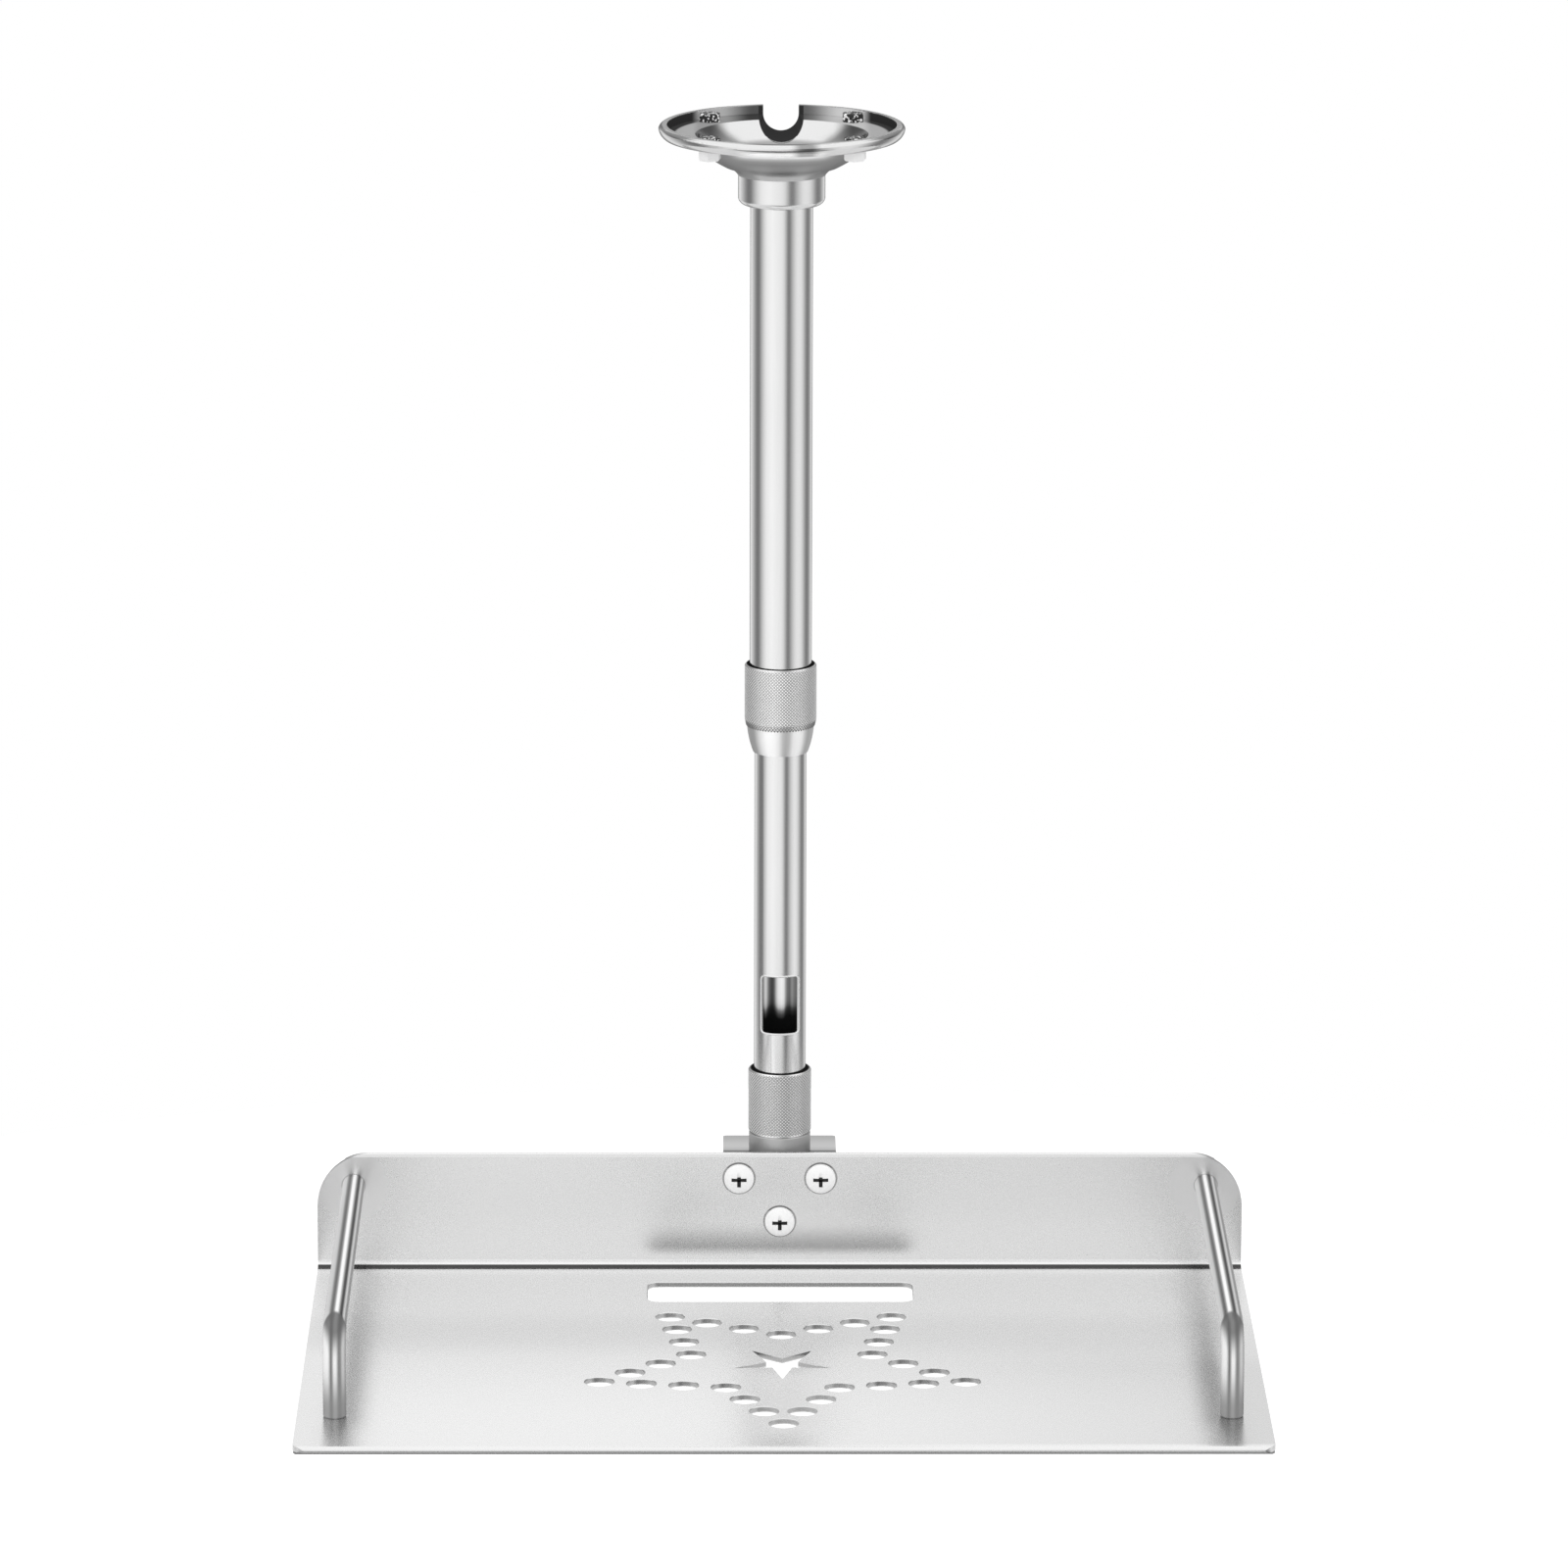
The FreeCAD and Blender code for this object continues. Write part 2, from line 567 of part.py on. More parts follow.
def bent_sheet():
    """Floor and wall of the tray in one bent sheet, with a bead along the front and the wall's top."""
    outer_bend = TRAY_BEND + SHEET
    crown = EDGE_BEAD / 2
    centre = (WALL_FRONT - TRAY_BEND, FLOOR_TOP + TRAY_BEND)
    section = side_section(
        (FRONT_EDGE + EDGE_REACH, FLOOR_BOTTOM),
        (centre[0], FLOOR_BOTTOM),
        (quarter(centre, outer_bend, (1, -1)), (WALL_BACK, centre[1])),
        (WALL_BACK, WALL_TOP - EDGE_REACH),
        (EDGE_BACK, WALL_TOP - EDGE_REACH),
        (EDGE_BACK, WALL_TOP - crown),
        ((EDGE_BACK - crown, WALL_TOP), (WALL_FRONT, WALL_TOP - crown)),
        (WALL_FRONT, centre[1]),
        (quarter(centre, TRAY_BEND, (1, -1)), (centre[0], FLOOR_TOP)),
        (FRONT_EDGE + crown, FLOOR_TOP),
        ((FRONT_EDGE, FLOOR_TOP - crown), (FRONT_EDGE + crown, EDGE_BOTTOM)),
        (FRONT_EDGE + EDGE_REACH, EDGE_BOTTOM),
    )
    sheet = section.extrude(X_AXIS * TRAY_WIDTH).translated(-X_AXIS * SIDE_EDGE)
    front_corners = [FRONT_CORNER, FRONT_CORNER, 0, 0]
    plan = rounded_outline((-SIDE_EDGE, FRONT_EDGE), (SIDE_EDGE, EDGE_BACK), front_corners)
    plan_prism = plan.extrude(Z_AXIS * (WALL_TOP - EDGE_BOTTOM)).translated(Z_AXIS * EDGE_BOTTOM)
    wall_corners = [0, 0, WALL_CORNER, WALL_CORNER]
    front_view = rounded_outline((-SIDE_EDGE, EDGE_BOTTOM), (SIDE_EDGE, WALL_TOP), wall_corners)
    front_prism = upright(front_view).extrude(Y_AXIS * (EDGE_BACK - FRONT_EDGE)).translated(Y_AXIS * FRONT_EDGE)
    return sheet.common(plan_prism).common(front_prism)


def projector_tray():
    """Tray with its cable slot, star of vents, small star and screw holes."""
    below = FLOOR_BOTTOM - CUT_MARGIN
    through = SHEET + 2 * CUT_MARGIN
    slot = rounded_outline(
        (-SLOT_WIDTH / 2, SLOT_MIDDLE - SLOT_DEPTH / 2),
        (SLOT_WIDTH / 2, SLOT_MIDDLE + SLOT_DEPTH / 2),
        [SLOT_CORNER] * 4,
    )
    cutters = [slot.extrude(Z_AXIS * through).translated(Z_AXIS * below)]
    middle = Vector(0, STAR_MIDDLE, below)
    for place in vent_places():
        cutters.append(drill(STAR_HOLE / 2, middle + place, Z_AXIS, through))
    corners = star_points(SMALL_STAR_RADIUS, SMALL_STAR_INNER_RADIUS)
    small_star = Part.Face(Part.makePolygon(corners + corners[:1]))
    cutters.append(small_star.extrude(Z_AXIS * through).translated(middle))
    cutters.extend(tray_screw_hole(place) for place in TRAY_SCREW_PLACES.values())
    for side in SIDES.values():
        cutters.extend(rail_screw_holes(side))
    tray = bent_sheet().cut(cutters)
    return tray.makeFillet(VENT_ROUND, [edge for edge in tray.Edges if is_vent_rim(edge)])


def is_vent_rim(edge):
    """True for the upper edges of the round vents and the cable slot."""
    box = edge.BoundBox
    if box.ZLength > FITTED_GAP or abs(box.ZMax - FLOOR_TOP) > FITTED_GAP:
        return False
    across = abs(box.Center.x) - SLOT_WIDTH / 2
    along = abs(box.Center.y - SLOT_MIDDLE) - SLOT_DEPTH / 2
    if max(across, along) < FITTED_GAP:
        return True
    return isinstance(edge.Curve, Part.Circle) and abs(edge.Curve.Radius - STAR_HOLE / 2) < FITTED_GAP


def rail_screw_holes(side):
    """Holes for one rail's screws, through the wall into its back end and through the floor into its foot."""
    radius = RAIL_SCREW_SHANK / 2 + FITTED_GAP
    length = SHEET + RAIL_SCREW_DEPTH + CUT_MARGIN + FITTED_GAP
    back = Vector(side * RAIL_X, WALL_BACK + CUT_MARGIN, RAIL_HEIGHT)
    foot = Vector(side * RAIL_X, RAIL_LEG, FLOOR_BOTTOM - CUT_MARGIN)
    return [drill(radius, back, -Y_AXIS, length), drill(radius, foot, Z_AXIS, length)]


def side_rail(side):
    """Round rod from the wall forward and down to the floor, with its foot's edge rounded."""
    x = side * RAIL_X
    knee = (RAIL_LEG + RAIL_BEND, RAIL_HEIGHT - RAIL_BEND)
    via = quarter(knee, RAIL_BEND, (-1, 1))
    start = Vector(x, WALL_FRONT, RAIL_HEIGHT)
    bend_start = Vector(x, knee[0], RAIL_HEIGHT)
    bend_end = Vector(x, RAIL_LEG, knee[1])
    foot = Vector(x, RAIL_LEG, FLOOR_TOP)
    path = Part.Wire([
        Part.makeLine(start, bend_start),
        Part.Arc(bend_start, Vector(x, via[0], via[1]), bend_end).toShape(),
        Part.makeLine(bend_end, foot),
    ])
    outline = Part.Wire(Part.makeCircle(RAIL_DIAMETER / 2, start, Y_AXIS))
    rod = path.makePipeShell([outline], True, True)
    foot_edges = [edge for edge in rod.Edges if edge.BoundBox.ZMax < FLOOR_TOP + FITTED_GAP]
    return rod.makeFillet(RAIL_FOOT_ROUND, foot_edges).cut(rail_screw_holes(side))


def pan_screw(head, head_height, shank, length):
    """Domed screw along Z with its head's underside at the origin, and a cross recess."""
    edge = (head / 2, SCREW_HEAD_EDGE * head_height)
    crown = (0, head_height)
    screw = turned(
        crown,
        bellied(crown, edge, head_height / 5),
        (head / 2, 0),
        (shank / 2, 0),
        (shank / 2, -length),
        (0, -length),
    )
    span = RECESS_SPAN * head
    arm = RECESS_ARM * head
    depth = RECESS_DEPTH * head_height
    slot = Part.makeBox(span, arm, depth + CUT_MARGIN, Vector(-span / 2, -arm / 2, head_height - depth))
    return screw.cut([slot, slot.rotated(ORIGIN, Z_AXIS, 90)])


def tray_screw(place):
    """Screw through the tray's wall into the bracket, its head in the tray."""
    x, z = place
    length = SHEET + BRACKET_THICKNESS + TRAY_SCREW_TIP
    screw = pan_screw(TRAY_SCREW_HEAD, TRAY_SCREW_HEAD_HEIGHT, TRAY_SCREW_SHANK, length)
    return screw.rotated(ORIGIN, X_AXIS, 90).translated(Vector(x, WALL_FRONT, z))


def rail_screws(side):
    """Back and foot screw of one rail, their heads outside the tray."""
    screw = pan_screw(RAIL_SCREW_HEAD, RAIL_SCREW_HEAD_HEIGHT, RAIL_SCREW_SHANK, SHEET + RAIL_SCREW_DEPTH)
    back = screw.rotated(ORIGIN, X_AXIS, -90).translated(Vector(side * RAIL_X, WALL_BACK, RAIL_HEIGHT))
    foot = screw.rotated(ORIGIN, X_AXIS, 180).translated(Vector(side * RAIL_X, RAIL_LEG, FLOOR_BOTTOM))
    return back, foot


def build():
    """All pieces of the mount by name."""
    pieces = {
        "ceiling_flange": ceiling_flange(),
        "neck_collar": neck_collar(),
        "upper_tube": upper_tube(),
        "clamp_collet": clamp_collet(),
        "lock_collar": lock_collar(),
        "lower_tube": lower_tube(),
        "lower_bush": lower_bush(),
        "swivel_collar": swivel_collar(),
        "swivel_post": swivel_post(),
        "tray_bracket": tray_bracket(),
        "projector_tray": projector_tray(),
    }
    for name, place in TRAY_SCREW_PLACES.items():
        pieces[name] = tray_screw(place)
    for name, side in SIDES.items():
        pieces[f"{name}_rail"] = side_rail(side)
        pieces[f"{name}_rail_back_screw"], pieces[f"{name}_rail_foot_screw"] = rail_screws(side)
    return pieces


def main():
    """Write each piece to its own file and print its volume."""
    os.makedirs("parts", exist_ok=True)
    for name, shape in build().items():
        solid = shape.Solids[0]
        if len(shape.Solids) != 1 or not solid.isValid():
            raise ValueError(f"{name} is not one valid solid")
        solid.exportStep(os.path.join("parts", f"{name}.step"))
        print(f"{name}: {solid.Volume / 1000:.2f} cm3")


main()
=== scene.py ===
"""Looks of the projector ceiling mount: satin aluminium, knurled collars, bright bolts and a white studio,
with shade, highlights, reflections and glow painted into many of its colours.
"""
import json
import logging
import math
from dataclasses import dataclass
from enum import Enum
from typing import Any, Mapping, Optional, Sequence, Union

import bpy
from mathutils import Matrix, Vector


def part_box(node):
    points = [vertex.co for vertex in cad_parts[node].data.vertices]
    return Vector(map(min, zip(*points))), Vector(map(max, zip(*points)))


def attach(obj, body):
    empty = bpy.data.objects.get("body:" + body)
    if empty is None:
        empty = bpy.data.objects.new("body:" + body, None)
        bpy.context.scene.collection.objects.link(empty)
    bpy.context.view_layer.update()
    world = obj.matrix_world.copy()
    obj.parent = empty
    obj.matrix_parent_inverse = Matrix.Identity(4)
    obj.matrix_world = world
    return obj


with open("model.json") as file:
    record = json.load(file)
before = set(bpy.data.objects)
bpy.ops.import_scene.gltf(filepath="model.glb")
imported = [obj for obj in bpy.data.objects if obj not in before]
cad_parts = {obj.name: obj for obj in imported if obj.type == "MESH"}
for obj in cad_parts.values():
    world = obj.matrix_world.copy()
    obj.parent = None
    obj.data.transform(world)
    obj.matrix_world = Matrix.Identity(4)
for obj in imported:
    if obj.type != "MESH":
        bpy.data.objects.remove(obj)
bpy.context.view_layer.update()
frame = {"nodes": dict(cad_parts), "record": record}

LOG = logging.getLogger("projector_mount")
MM = 0.001
FAR = 10000.0
TO_DEGREES = 180.0 / math.pi
CLOUD_SCALE = 22.0
FINE_SCALE = 900.0
BOLT_SEED = 7
NUT_SEED = 11

Number = Union["Socket", float]
Pairs = tuple[tuple[float, float], ...]
Span = tuple[float, float, float]


def grey(level: Number) -> Any:
    """Colour of a grey level; a socket stays as it is."""
    return level if isinstance(level, Socket) else (level, level, level, 1.0)


def box_mm(node: str) -> tuple[Vector, Vector]:
    """Box of a CAD node, in millimetres."""
    low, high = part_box(node)
    return low / MM, high / MM


@dataclass(frozen=True)
class Socket:
    """An output of a node; operators and methods on it add nodes to its graph."""

    graph: "Graph"
    socket: bpy.types.NodeSocket

    def out(self, name: Union[str, int]) -> "Socket":
        """Another output of the same node."""
        return Socket(self.graph, self.socket.node.outputs[name])

    def __add__(self, other: Number) -> "Socket":
        """Sum."""
        return self.graph.math("ADD", self, other)

    def __radd__(self, other: Number) -> "Socket":
        """Sum with a number on the left."""
        return self.graph.math("ADD", other, self)

    def __sub__(self, other: Number) -> "Socket":
        """Difference."""
        return self.graph.math("SUBTRACT", self, other)

    def __rsub__(self, other: Number) -> "Socket":
        """Difference from a number on the left."""
        return self.graph.math("SUBTRACT", other, self)

    def __mul__(self, other: Number) -> "Socket":
        """Product."""
        return self.graph.math("MULTIPLY", self, other)

    def __rmul__(self, other: Number) -> "Socket":
        """Product with a number on the left."""
        return self.graph.math("MULTIPLY", other, self)

    def __truediv__(self, other: Number) -> "Socket":
        """Quotient."""
        return self.graph.math("DIVIDE", self, other)

    def __rtruediv__(self, other: Number) -> "Socket":
        """Quotient of a number on the left."""
        return self.graph.math("DIVIDE", other, self)

    def __mod__(self, other: Number) -> "Socket":
        """Remainder that is never negative."""
        return self.graph.math("FLOORED_MODULO", self, other)

    def floor(self) -> "Socket":
        """Largest whole number below."""
        return self.graph.math("FLOOR", self)

    def cos(self) -> "Socket":
        """Cosine of radians."""
        return self.graph.math("COSINE", self)

    def sin(self) -> "Socket":
        """Sine of radians."""
        return self.graph.math("SINE", self)

    def abs(self) -> "Socket":
        """Size without its sign."""
        return self.graph.math("ABSOLUTE", self)

    def at_least(self, other: Number) -> "Socket":
        """The larger of two numbers."""
        return self.graph.math("MAXIMUM", self, other)

    def reach(self, other: "Socket") -> "Socket":
        """Distance with this and another number as its legs."""
        return self.graph.math("SQRT", self * self + other * other)

    def degrees(self, ahead: "Socket") -> "Socket":
        """Angle from straight ahead to a point this far aside, in degrees."""
        return self.graph.math("ARCTAN2", self, ahead) * TO_DEGREES

    def smooth(self, start: float, end: float) -> "Socket":
        """Soft step from 0 at start to 1 at end."""
        ends = {"Value": self, "From Min": start, "From Max": end}
        return self.graph.add("ShaderNodeMapRange", {"interpolation_type": "SMOOTHSTEP"}, ends)

    def band(self, low: float, high: float, soft: float) -> "Socket":
        """Window that is 1 between two values, with edges this soft inside it."""
        return self.smooth(low, low + soft) * (1.0 - self.smooth(high - soft, high))

    def ramp(self, tones: Pairs) -> "Socket":
        """Tone at this value.

        Args:
            tones: pairs of a value and its tone, in rising order.

        Returns:
            The tone, read off between them.
        """
        low = tones[0][0]
        span = tones[-1][0] - low
        colour = self.graph.add("ShaderNodeValToRGB", None, {0: (self - low) / span})
        elements = colour.socket.node.color_ramp.elements
        while len(elements) < len(tones):
            elements.new(1.0)
        for element, (value, tone) in zip(elements, tones):
            element.position = (value - low) / span
            element.color = grey(tone)
        return self.graph.add("ShaderNodeRGBToBW", None, {0: colour})

    def blend(self, first: Number, second: Number) -> "Socket":
        """Number between two, with this share of the second."""
        return first * (1.0 - self) + second * self

    def between(self, first: Number, second: Number) -> "Socket":
        """Colour between two colours or grey levels, with this share of the second."""
        ends = {"Factor": self, 6: grey(first), 7: grey(second)}
        return self.graph.add("ShaderNodeMix", {"data_type": "RGBA"}, ends, output=2)

    def toned(self, tone: Number) -> "Socket":
        """This colour times a tone."""
        settings = {"data_type": "RGBA", "blend_type": "MULTIPLY"}
        return self.graph.add("ShaderNodeMix", settings, {"Factor": 1.0, 6: self, 7: grey(tone)}, output=2)


class Graph:
    """A node tree of any kind, with one way to add its nodes."""

    def __init__(self, tree: bpy.types.NodeTree) -> None:
        """Take over a tree and empty it.

        Args:
            tree: the shader or geometry tree to fill.
        """
        self.tree = tree
        tree.nodes.clear()

    def add(
        self,
        kind: str,
        settings: Optional[Mapping[str, Any]] = None,
        inputs: Optional[Mapping[Union[str, int], Any]] = None,
        output: Union[str, int] = 0,
    ) -> Optional[Socket]:
        """Add a node.

        Args:
            kind: the node's type name.
            settings: properties of the node, set before its sockets.
            inputs: values or links of its sockets, by name or place.
            output: the output to hand back.

        Returns:
            That output, or None for a node without outputs.
        """
        node = self.tree.nodes.new(kind)
        for key, value in (settings or {}).items():
            setattr(node, key, value)
        for key, value in (inputs or {}).items():
            target = node.inputs[key]
            if isinstance(value, Socket):
                self.tree.links.new(value.socket, target)
            else:
                target.default_value = value
        return Socket(self, node.outputs[output]) if len(node.outputs) else None

    def math(self, operation: str, *values: Number) -> Socket:
        """Result of a Math node with these operands."""
        return self.add("ShaderNodeMath", {"operation": operation}, dict(enumerate(values)))

    def split(self, vector: Socket) -> tuple[Socket, Socket, Socket]:
        """The three parts of a vector."""
        first = self.add("ShaderNodeSeparateXYZ", None, {0: vector})
        return first, first.out(1), first.out(2)

    def noise(self, place: Socket, scale: float, detail: float) -> Socket:
        """Noise between 0 and 1."""
        return self.add("ShaderNodeTexNoise", None, {"Vector": place, "Scale": scale, "Detail": detail})


@dataclass(frozen=True)
class Place:
    """Place on an object.

    Attributes:
        whole: the place as one vector, in metres.
        x: millimetres to the right.
        y: millimetres to the back.
        z: millimetres up.
    """

    whole: Socket
    x: Socket
    y: Socket
    z: Socket

    @classmethod
    def on(cls, graph: Graph) -> "Place":
        """Place in object coordinates."""
        whole = graph.add("ShaderNodeTexCoord", output="Object")
        return cls(whole, *(part / MM for part in graph.split(whole)))


class Grain(Enum):
    """Direction of a finish's fine texture, as its stretch along X, Y and Z."""

    BLASTED = (1.0, 1.0, 1.0)
    ROLLED = (0.06, 1.0, 1.0)
    DRAWN = (1.0, 1.0, 0.02)
    TURNED = (0.04, 0.04, 1.0)
    CAST = (0.8, 0.8, 1.2)


@dataclass(frozen=True)
class Finish:
    """A grey surface with fine grain, slow mottling and the bump that belongs to them; all in millimetres.

    Attributes:
        slot: the record's material slot.
        tone: grey level of the base colour.
        roughness: mean roughness.
        grain: direction of the grain.
        pitch: size of the grain.
        depth: height of the grain.
        mottle: how much the colour varies over a hand's width.
        metallic: 1 for metal, 0 for plastic.
        gloss: strength of the clear reflection on what is not metal.
        glow: painted light, the share of its own colour that the surface gives off as a glow, though it is no
            lamp.
        name: name of the material where a slot has more than one look.
    """

    slot: str
    tone: float
    roughness: float
    grain: Grain
    pitch: float
    depth: float
    mottle: float = 0.03
    metallic: float = 1.0
    gloss: float = 0.5
    glow: float = 0.0
    name: str = ""

    def material(self) -> bpy.types.Material:
        """Material of the finish, made once.

        Returns:
            The material.
        """
        title = (self.name or self.slot) + "_finish"
        made = bpy.data.materials.get(title)
        if made is not None:
            return made
        made = bpy.data.materials.new(title)
        made.use_nodes = True
        graph = Graph(made.node_tree)
        at = Place.on(graph)
        stretch = {0: at.whole, 1: self.grain.value}
        stretched = graph.add("ShaderNodeVectorMath", {"operation": "MULTIPLY"}, stretch)
        grain = graph.noise(stretched, 1.0 / (self.pitch * MM), 3.0)
        cloud = graph.noise(at.whole, CLOUD_SCALE, 2.0)
        fine = graph.noise(at.whole, FINE_SCALE, 1.0)
        shade = 0.5 * grain + 0.3 * cloud + 0.2 * fine
        dark = self.tone * (1.0 - 2.0 * self.mottle)
        pale = min(1.0, self.tone * (1.0 + 2.0 * self.mottle))
        tint = self.marked(at, shade.between(dark, pale))
        bump = {"Strength": 1.0, "Distance": self.depth * MM, "Height": grain}
        look = {
            "Base Color": tint,
            "Roughness": self.worn(at, self.roughness * (0.8 + 0.4 * shade)),
            "Metallic": self.plated(at),
            "Specular IOR Level": self.gloss,
            # Painted light: the surface gives off its own colour as a glow, though it is no lamp.
            "Emission Color": self.painted_glow(at, tint),
            "Emission Strength": self.glow,
            "Normal": graph.add("ShaderNodeBump", None, bump),
        }
        surface = graph.add("ShaderNodeBsdfPrincipled", None, look)
        graph.add("ShaderNodeOutputMaterial", None, {"Surface": surface})
        return made

    def marked(self, at: Place, tint: Socket) -> Socket:
        """Base colour with the finish's own marks; a plain finish has none."""
        return tint

    def worn(self, at: Place, roughness: Socket) -> Socket:
        """Roughness with the finish's own marks; a plain finish has none."""
        return roughness

    def plated(self, at: Place) -> Number:
        """How far the surface is bare metal; the same everywhere on a plain finish."""
        return self.metallic

    def painted_glow(self, at: Place, tint: Socket) -> Socket:
        """Colour of the surface's painted glow; a plain finish glows in its own colour."""
        return tint

    def dress(self, piece: bpy.types.Object) -> None:
        """Give a piece this finish as its only material."""
        piece.data.materials.clear()
        piece.data.materials.append(self.material())


@dataclass(frozen=True)
class Mark:
    """Painted shade or highlight laid on a bent sheet inside two windows; each is a low end, a high end and
    its softness.

    Attributes:
        depth: window by the depth behind the wall's front face.
        height: window by the height above the floor's upper face.
        share: how much of the grey is laid on.
        tone: its grey level.
        reach: how far it reaches to either side.
    """

    depth: Span
    height: Span
    share: float
    tone: float = 0.02
    reach: float = FAR

    def over(self, colour: Socket, side: Socket, depth: Socket, height: Socket) -> Socket:
        """Lay the painted shade or highlight over a colour.

        Args:
            colour: the colour below it.
            side: distance from the middle.
            depth: depth behind the wall's front face.
            height: height above the floor.

        Returns:
            The colour with the mark.
        """
        within = depth.band(*self.depth) * height.band(*self.height)
        within = within * (1.0 - side.smooth(self.reach, self.reach + 1.0))
        return (self.share * within).between(colour, self.tone)


class TrayMark(Enum):
    """Painted shade and a painted highlight on the tray's sheet, in the order in which they are laid on."""

    # Painted shade in the crease along the bend, a painted highlight on the bend's upper half, painted shade
    # on the walls of the holes in the floor, under the front bead and along its foot, and a painted dark line
    # just below the wall's top edge.
    CREASE = Mark((-3.4, 0.3, 0.3), (-0.4, 1.2, 0.3), 0.92, 0.01)
    BEND_HIGHLIGHT = Mark((-3.4, 0.3, 0.3), (1.0, 3.3, 0.4), 1.0, 1.0)
    CUT_EDGE_SHADE = Mark((-228.0, -6.0, 1.0), (-1.9, -0.15, 0.2), 0.32, reach=90.0)
    UNDERSIDE_SHADE = Mark((-FAR, -230.0, 0.5), (-FAR, -2.1, 0.4), 0.68)
    BEAD_FOOT_SHADE = Mark((-FAR, -232.5, 1.0), (-FAR, -1.3, 0.6), 0.4)
    BROW_SHADE = Mark((-FAR, 0.5, 0.3), (47.1, 47.9, 0.2), 0.30)


@dataclass(frozen=True)
class SheetFinish(Finish):
    """Satin sheet with painted shade on the walls of its holes, in its bend, under and along its front bead,
    below the wall's top and in rings round screws and rods, a painted highlight above the bend and painted
    shade across the floor.

    Attributes:
        wall_front: front face of the upright wall.
        floor_top: upper face of the floor.
        front: where the bead along the front edge starts, from the wall.
        screws: places of the screw heads on the wall, across and up.
        screw_radius: radius of those heads.
        rods: places of the rods' ends on the wall.
        rod_radius: radius of the rods.
        ring: grey level of the painted shade rings around screws and rods.
        dull: roughness added around the rods' ends.
        haze: how much of the mirror is lost in the middle of the floor's front.
        stripe: dimming of a soft stripe across the floor.
        right: dimming of the floor's front towards the right.
        beside: dimming beside the rods at the back, and what the front adds to it.
    """

    wall_front: float = 0.0
    floor_top: float = 0.0
    front: float = -230.0
    screws: Pairs = ()
    screw_radius: float = 0.0
    rods: Pairs = ()
    rod_radius: float = 0.0
    ring: float = 0.03
    dull: float = 0.04
    haze: float = 0.8
    # stripe: painted shade in a soft stripe across the floor.
    stripe: float = 0.08
    # right: painted shade over the floor's front towards the right.
    right: float = 0.18
    # beside: painted shade beside the rods at the back, and what the front adds to it.
    beside: tuple[float, float] = (0.10, 0.14)

    def marked(self, at: Place, tint: Socket) -> Socket:
        """Lay the painted shade and highlight over the sheet's colour.

        Args:
            at: place on the tray.
            tint: colour of the bare sheet.

        Returns:
            The colour with its marks.
        """
        depth = at.y - self.wall_front
        colour = tint.toned(self._shade(at))
        for mark in TrayMark:
            colour = mark.value.over(colour, at.x.abs(), depth, at.z - self.floor_top)
        # Painted shade: dark rings on the wall round the screw heads, thicker along their upper edges, and
        # fainter rings round the rods' ends.
        face = 1.0 - depth.smooth(0.3, 0.8)
        for across, up in self.screws:
            edge = (at.x - across).reach(at.z - up) - self.screw_radius
            upper = (at.z - up).smooth(0.5 * self.screw_radius, 0.8 * self.screw_radius)
            share = (0.55 * edge.band(-0.3, 0.9, 0.3)).at_least(0.8 * edge.band(-0.3, 0.8, 0.3) * upper)
            colour = (share * face).between(colour, self.ring)
        for across, up in self.rods:
            edge = (at.x - across).reach(at.z - up) - self.rod_radius
            colour = (0.3 * edge.band(-0.3, 0.6, 0.3) * face).between(colour, self.ring)
        return colour

    def worn(self, at: Place, roughness: Socket) -> Socket:
        """Dull the sheet around the rods' ends.

        Args:
            at: place on the tray.
            roughness: roughness of the bare sheet.

        Returns:
            The roughness with its marks.
        """
        wall = (at.y - self.wall_front).smooth(-6.0, -1.0)
        for across, up in self.rods:
            reach = (at.x - across).reach(at.z - up)
            near = 1.0 - reach.smooth(2.0 * self.rod_radius, 4.0 * self.rod_radius)
            roughness = roughness + self.dull * (near * wall)
        return roughness

    def plated(self, at: Place) -> Socket:
        """How far the sheet mirrors its surroundings, less in the middle of the floor's front.

        Args:
            at: place on the tray.

        Returns:
            The share of bare metal.
        """
        middle = 1.0 - (at.x - 5.0).abs().smooth(6.0, 28.0)
        ahead = (at.y - self.wall_front).band(self.front, -130.0, 20.0)
        return 1.0 - self.haze * middle * ahead

    def _shade(self, at: Place) -> Socket:
        """Painted shade on the floor: a soft stripe across it, darker to the right and beside the rods.

        Args:
            at: place on the tray.

        Returns:
            The tone, 1 on the wall.
        """
        depth = at.y - self.wall_front
        floor = 1.0 - (at.z - self.floor_top).smooth(0.5, 2.0)
        floor = floor * depth.smooth(self.front - 1.0, self.front + 1.0)
        ahead = 1.0 - depth.smooth(-140.0, -90.0)
        inward = self.rods[-1][0] - at.x.abs()
        beside = (1.0 - inward.smooth(5.0, 17.0)) * inward.smooth(0.0, 4.0) * depth.smooth(-222.0, -195.0)
        dim = self.stripe * depth.band(-125.0, -55.0, 30.0) + self.right * at.x.smooth(-40.0, 220.0) * ahead
        return 1.0 - (dim + (self.beside[0] + self.beside[1] * ahead) * beside) * floor

    @classmethod
    def on_tray(cls) -> "SheetFinish":
        """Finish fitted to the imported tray.

        Returns:
            The finish with the places of screws and rods.
        """
        boxes = [box_mm(name) for name in ("left_tray_screw", "right_tray_screw", "lower_tray_screw")]
        low, high = box_mm("right_rail")
        radius = (high.x - low.x) / 2.0
        side = (high.x + low.x) / 2.0
        return cls(
            "tray_sheet", 0.90, 0.27, Grain.BLASTED, pitch=0.8, depth=0.0042, mottle=0.018,
            wall_front=high.y, floor_top=low.z,
            screws=tuple(((first.x + last.x) / 2.0, (first.z + last.z) / 2.0) for first, last in boxes),
            screw_radius=(boxes[0][1].x - boxes[0][0].x) / 2.0,
            rods=((-side, high.z - radius), (side, high.z - radius)), rod_radius=radius,
        )


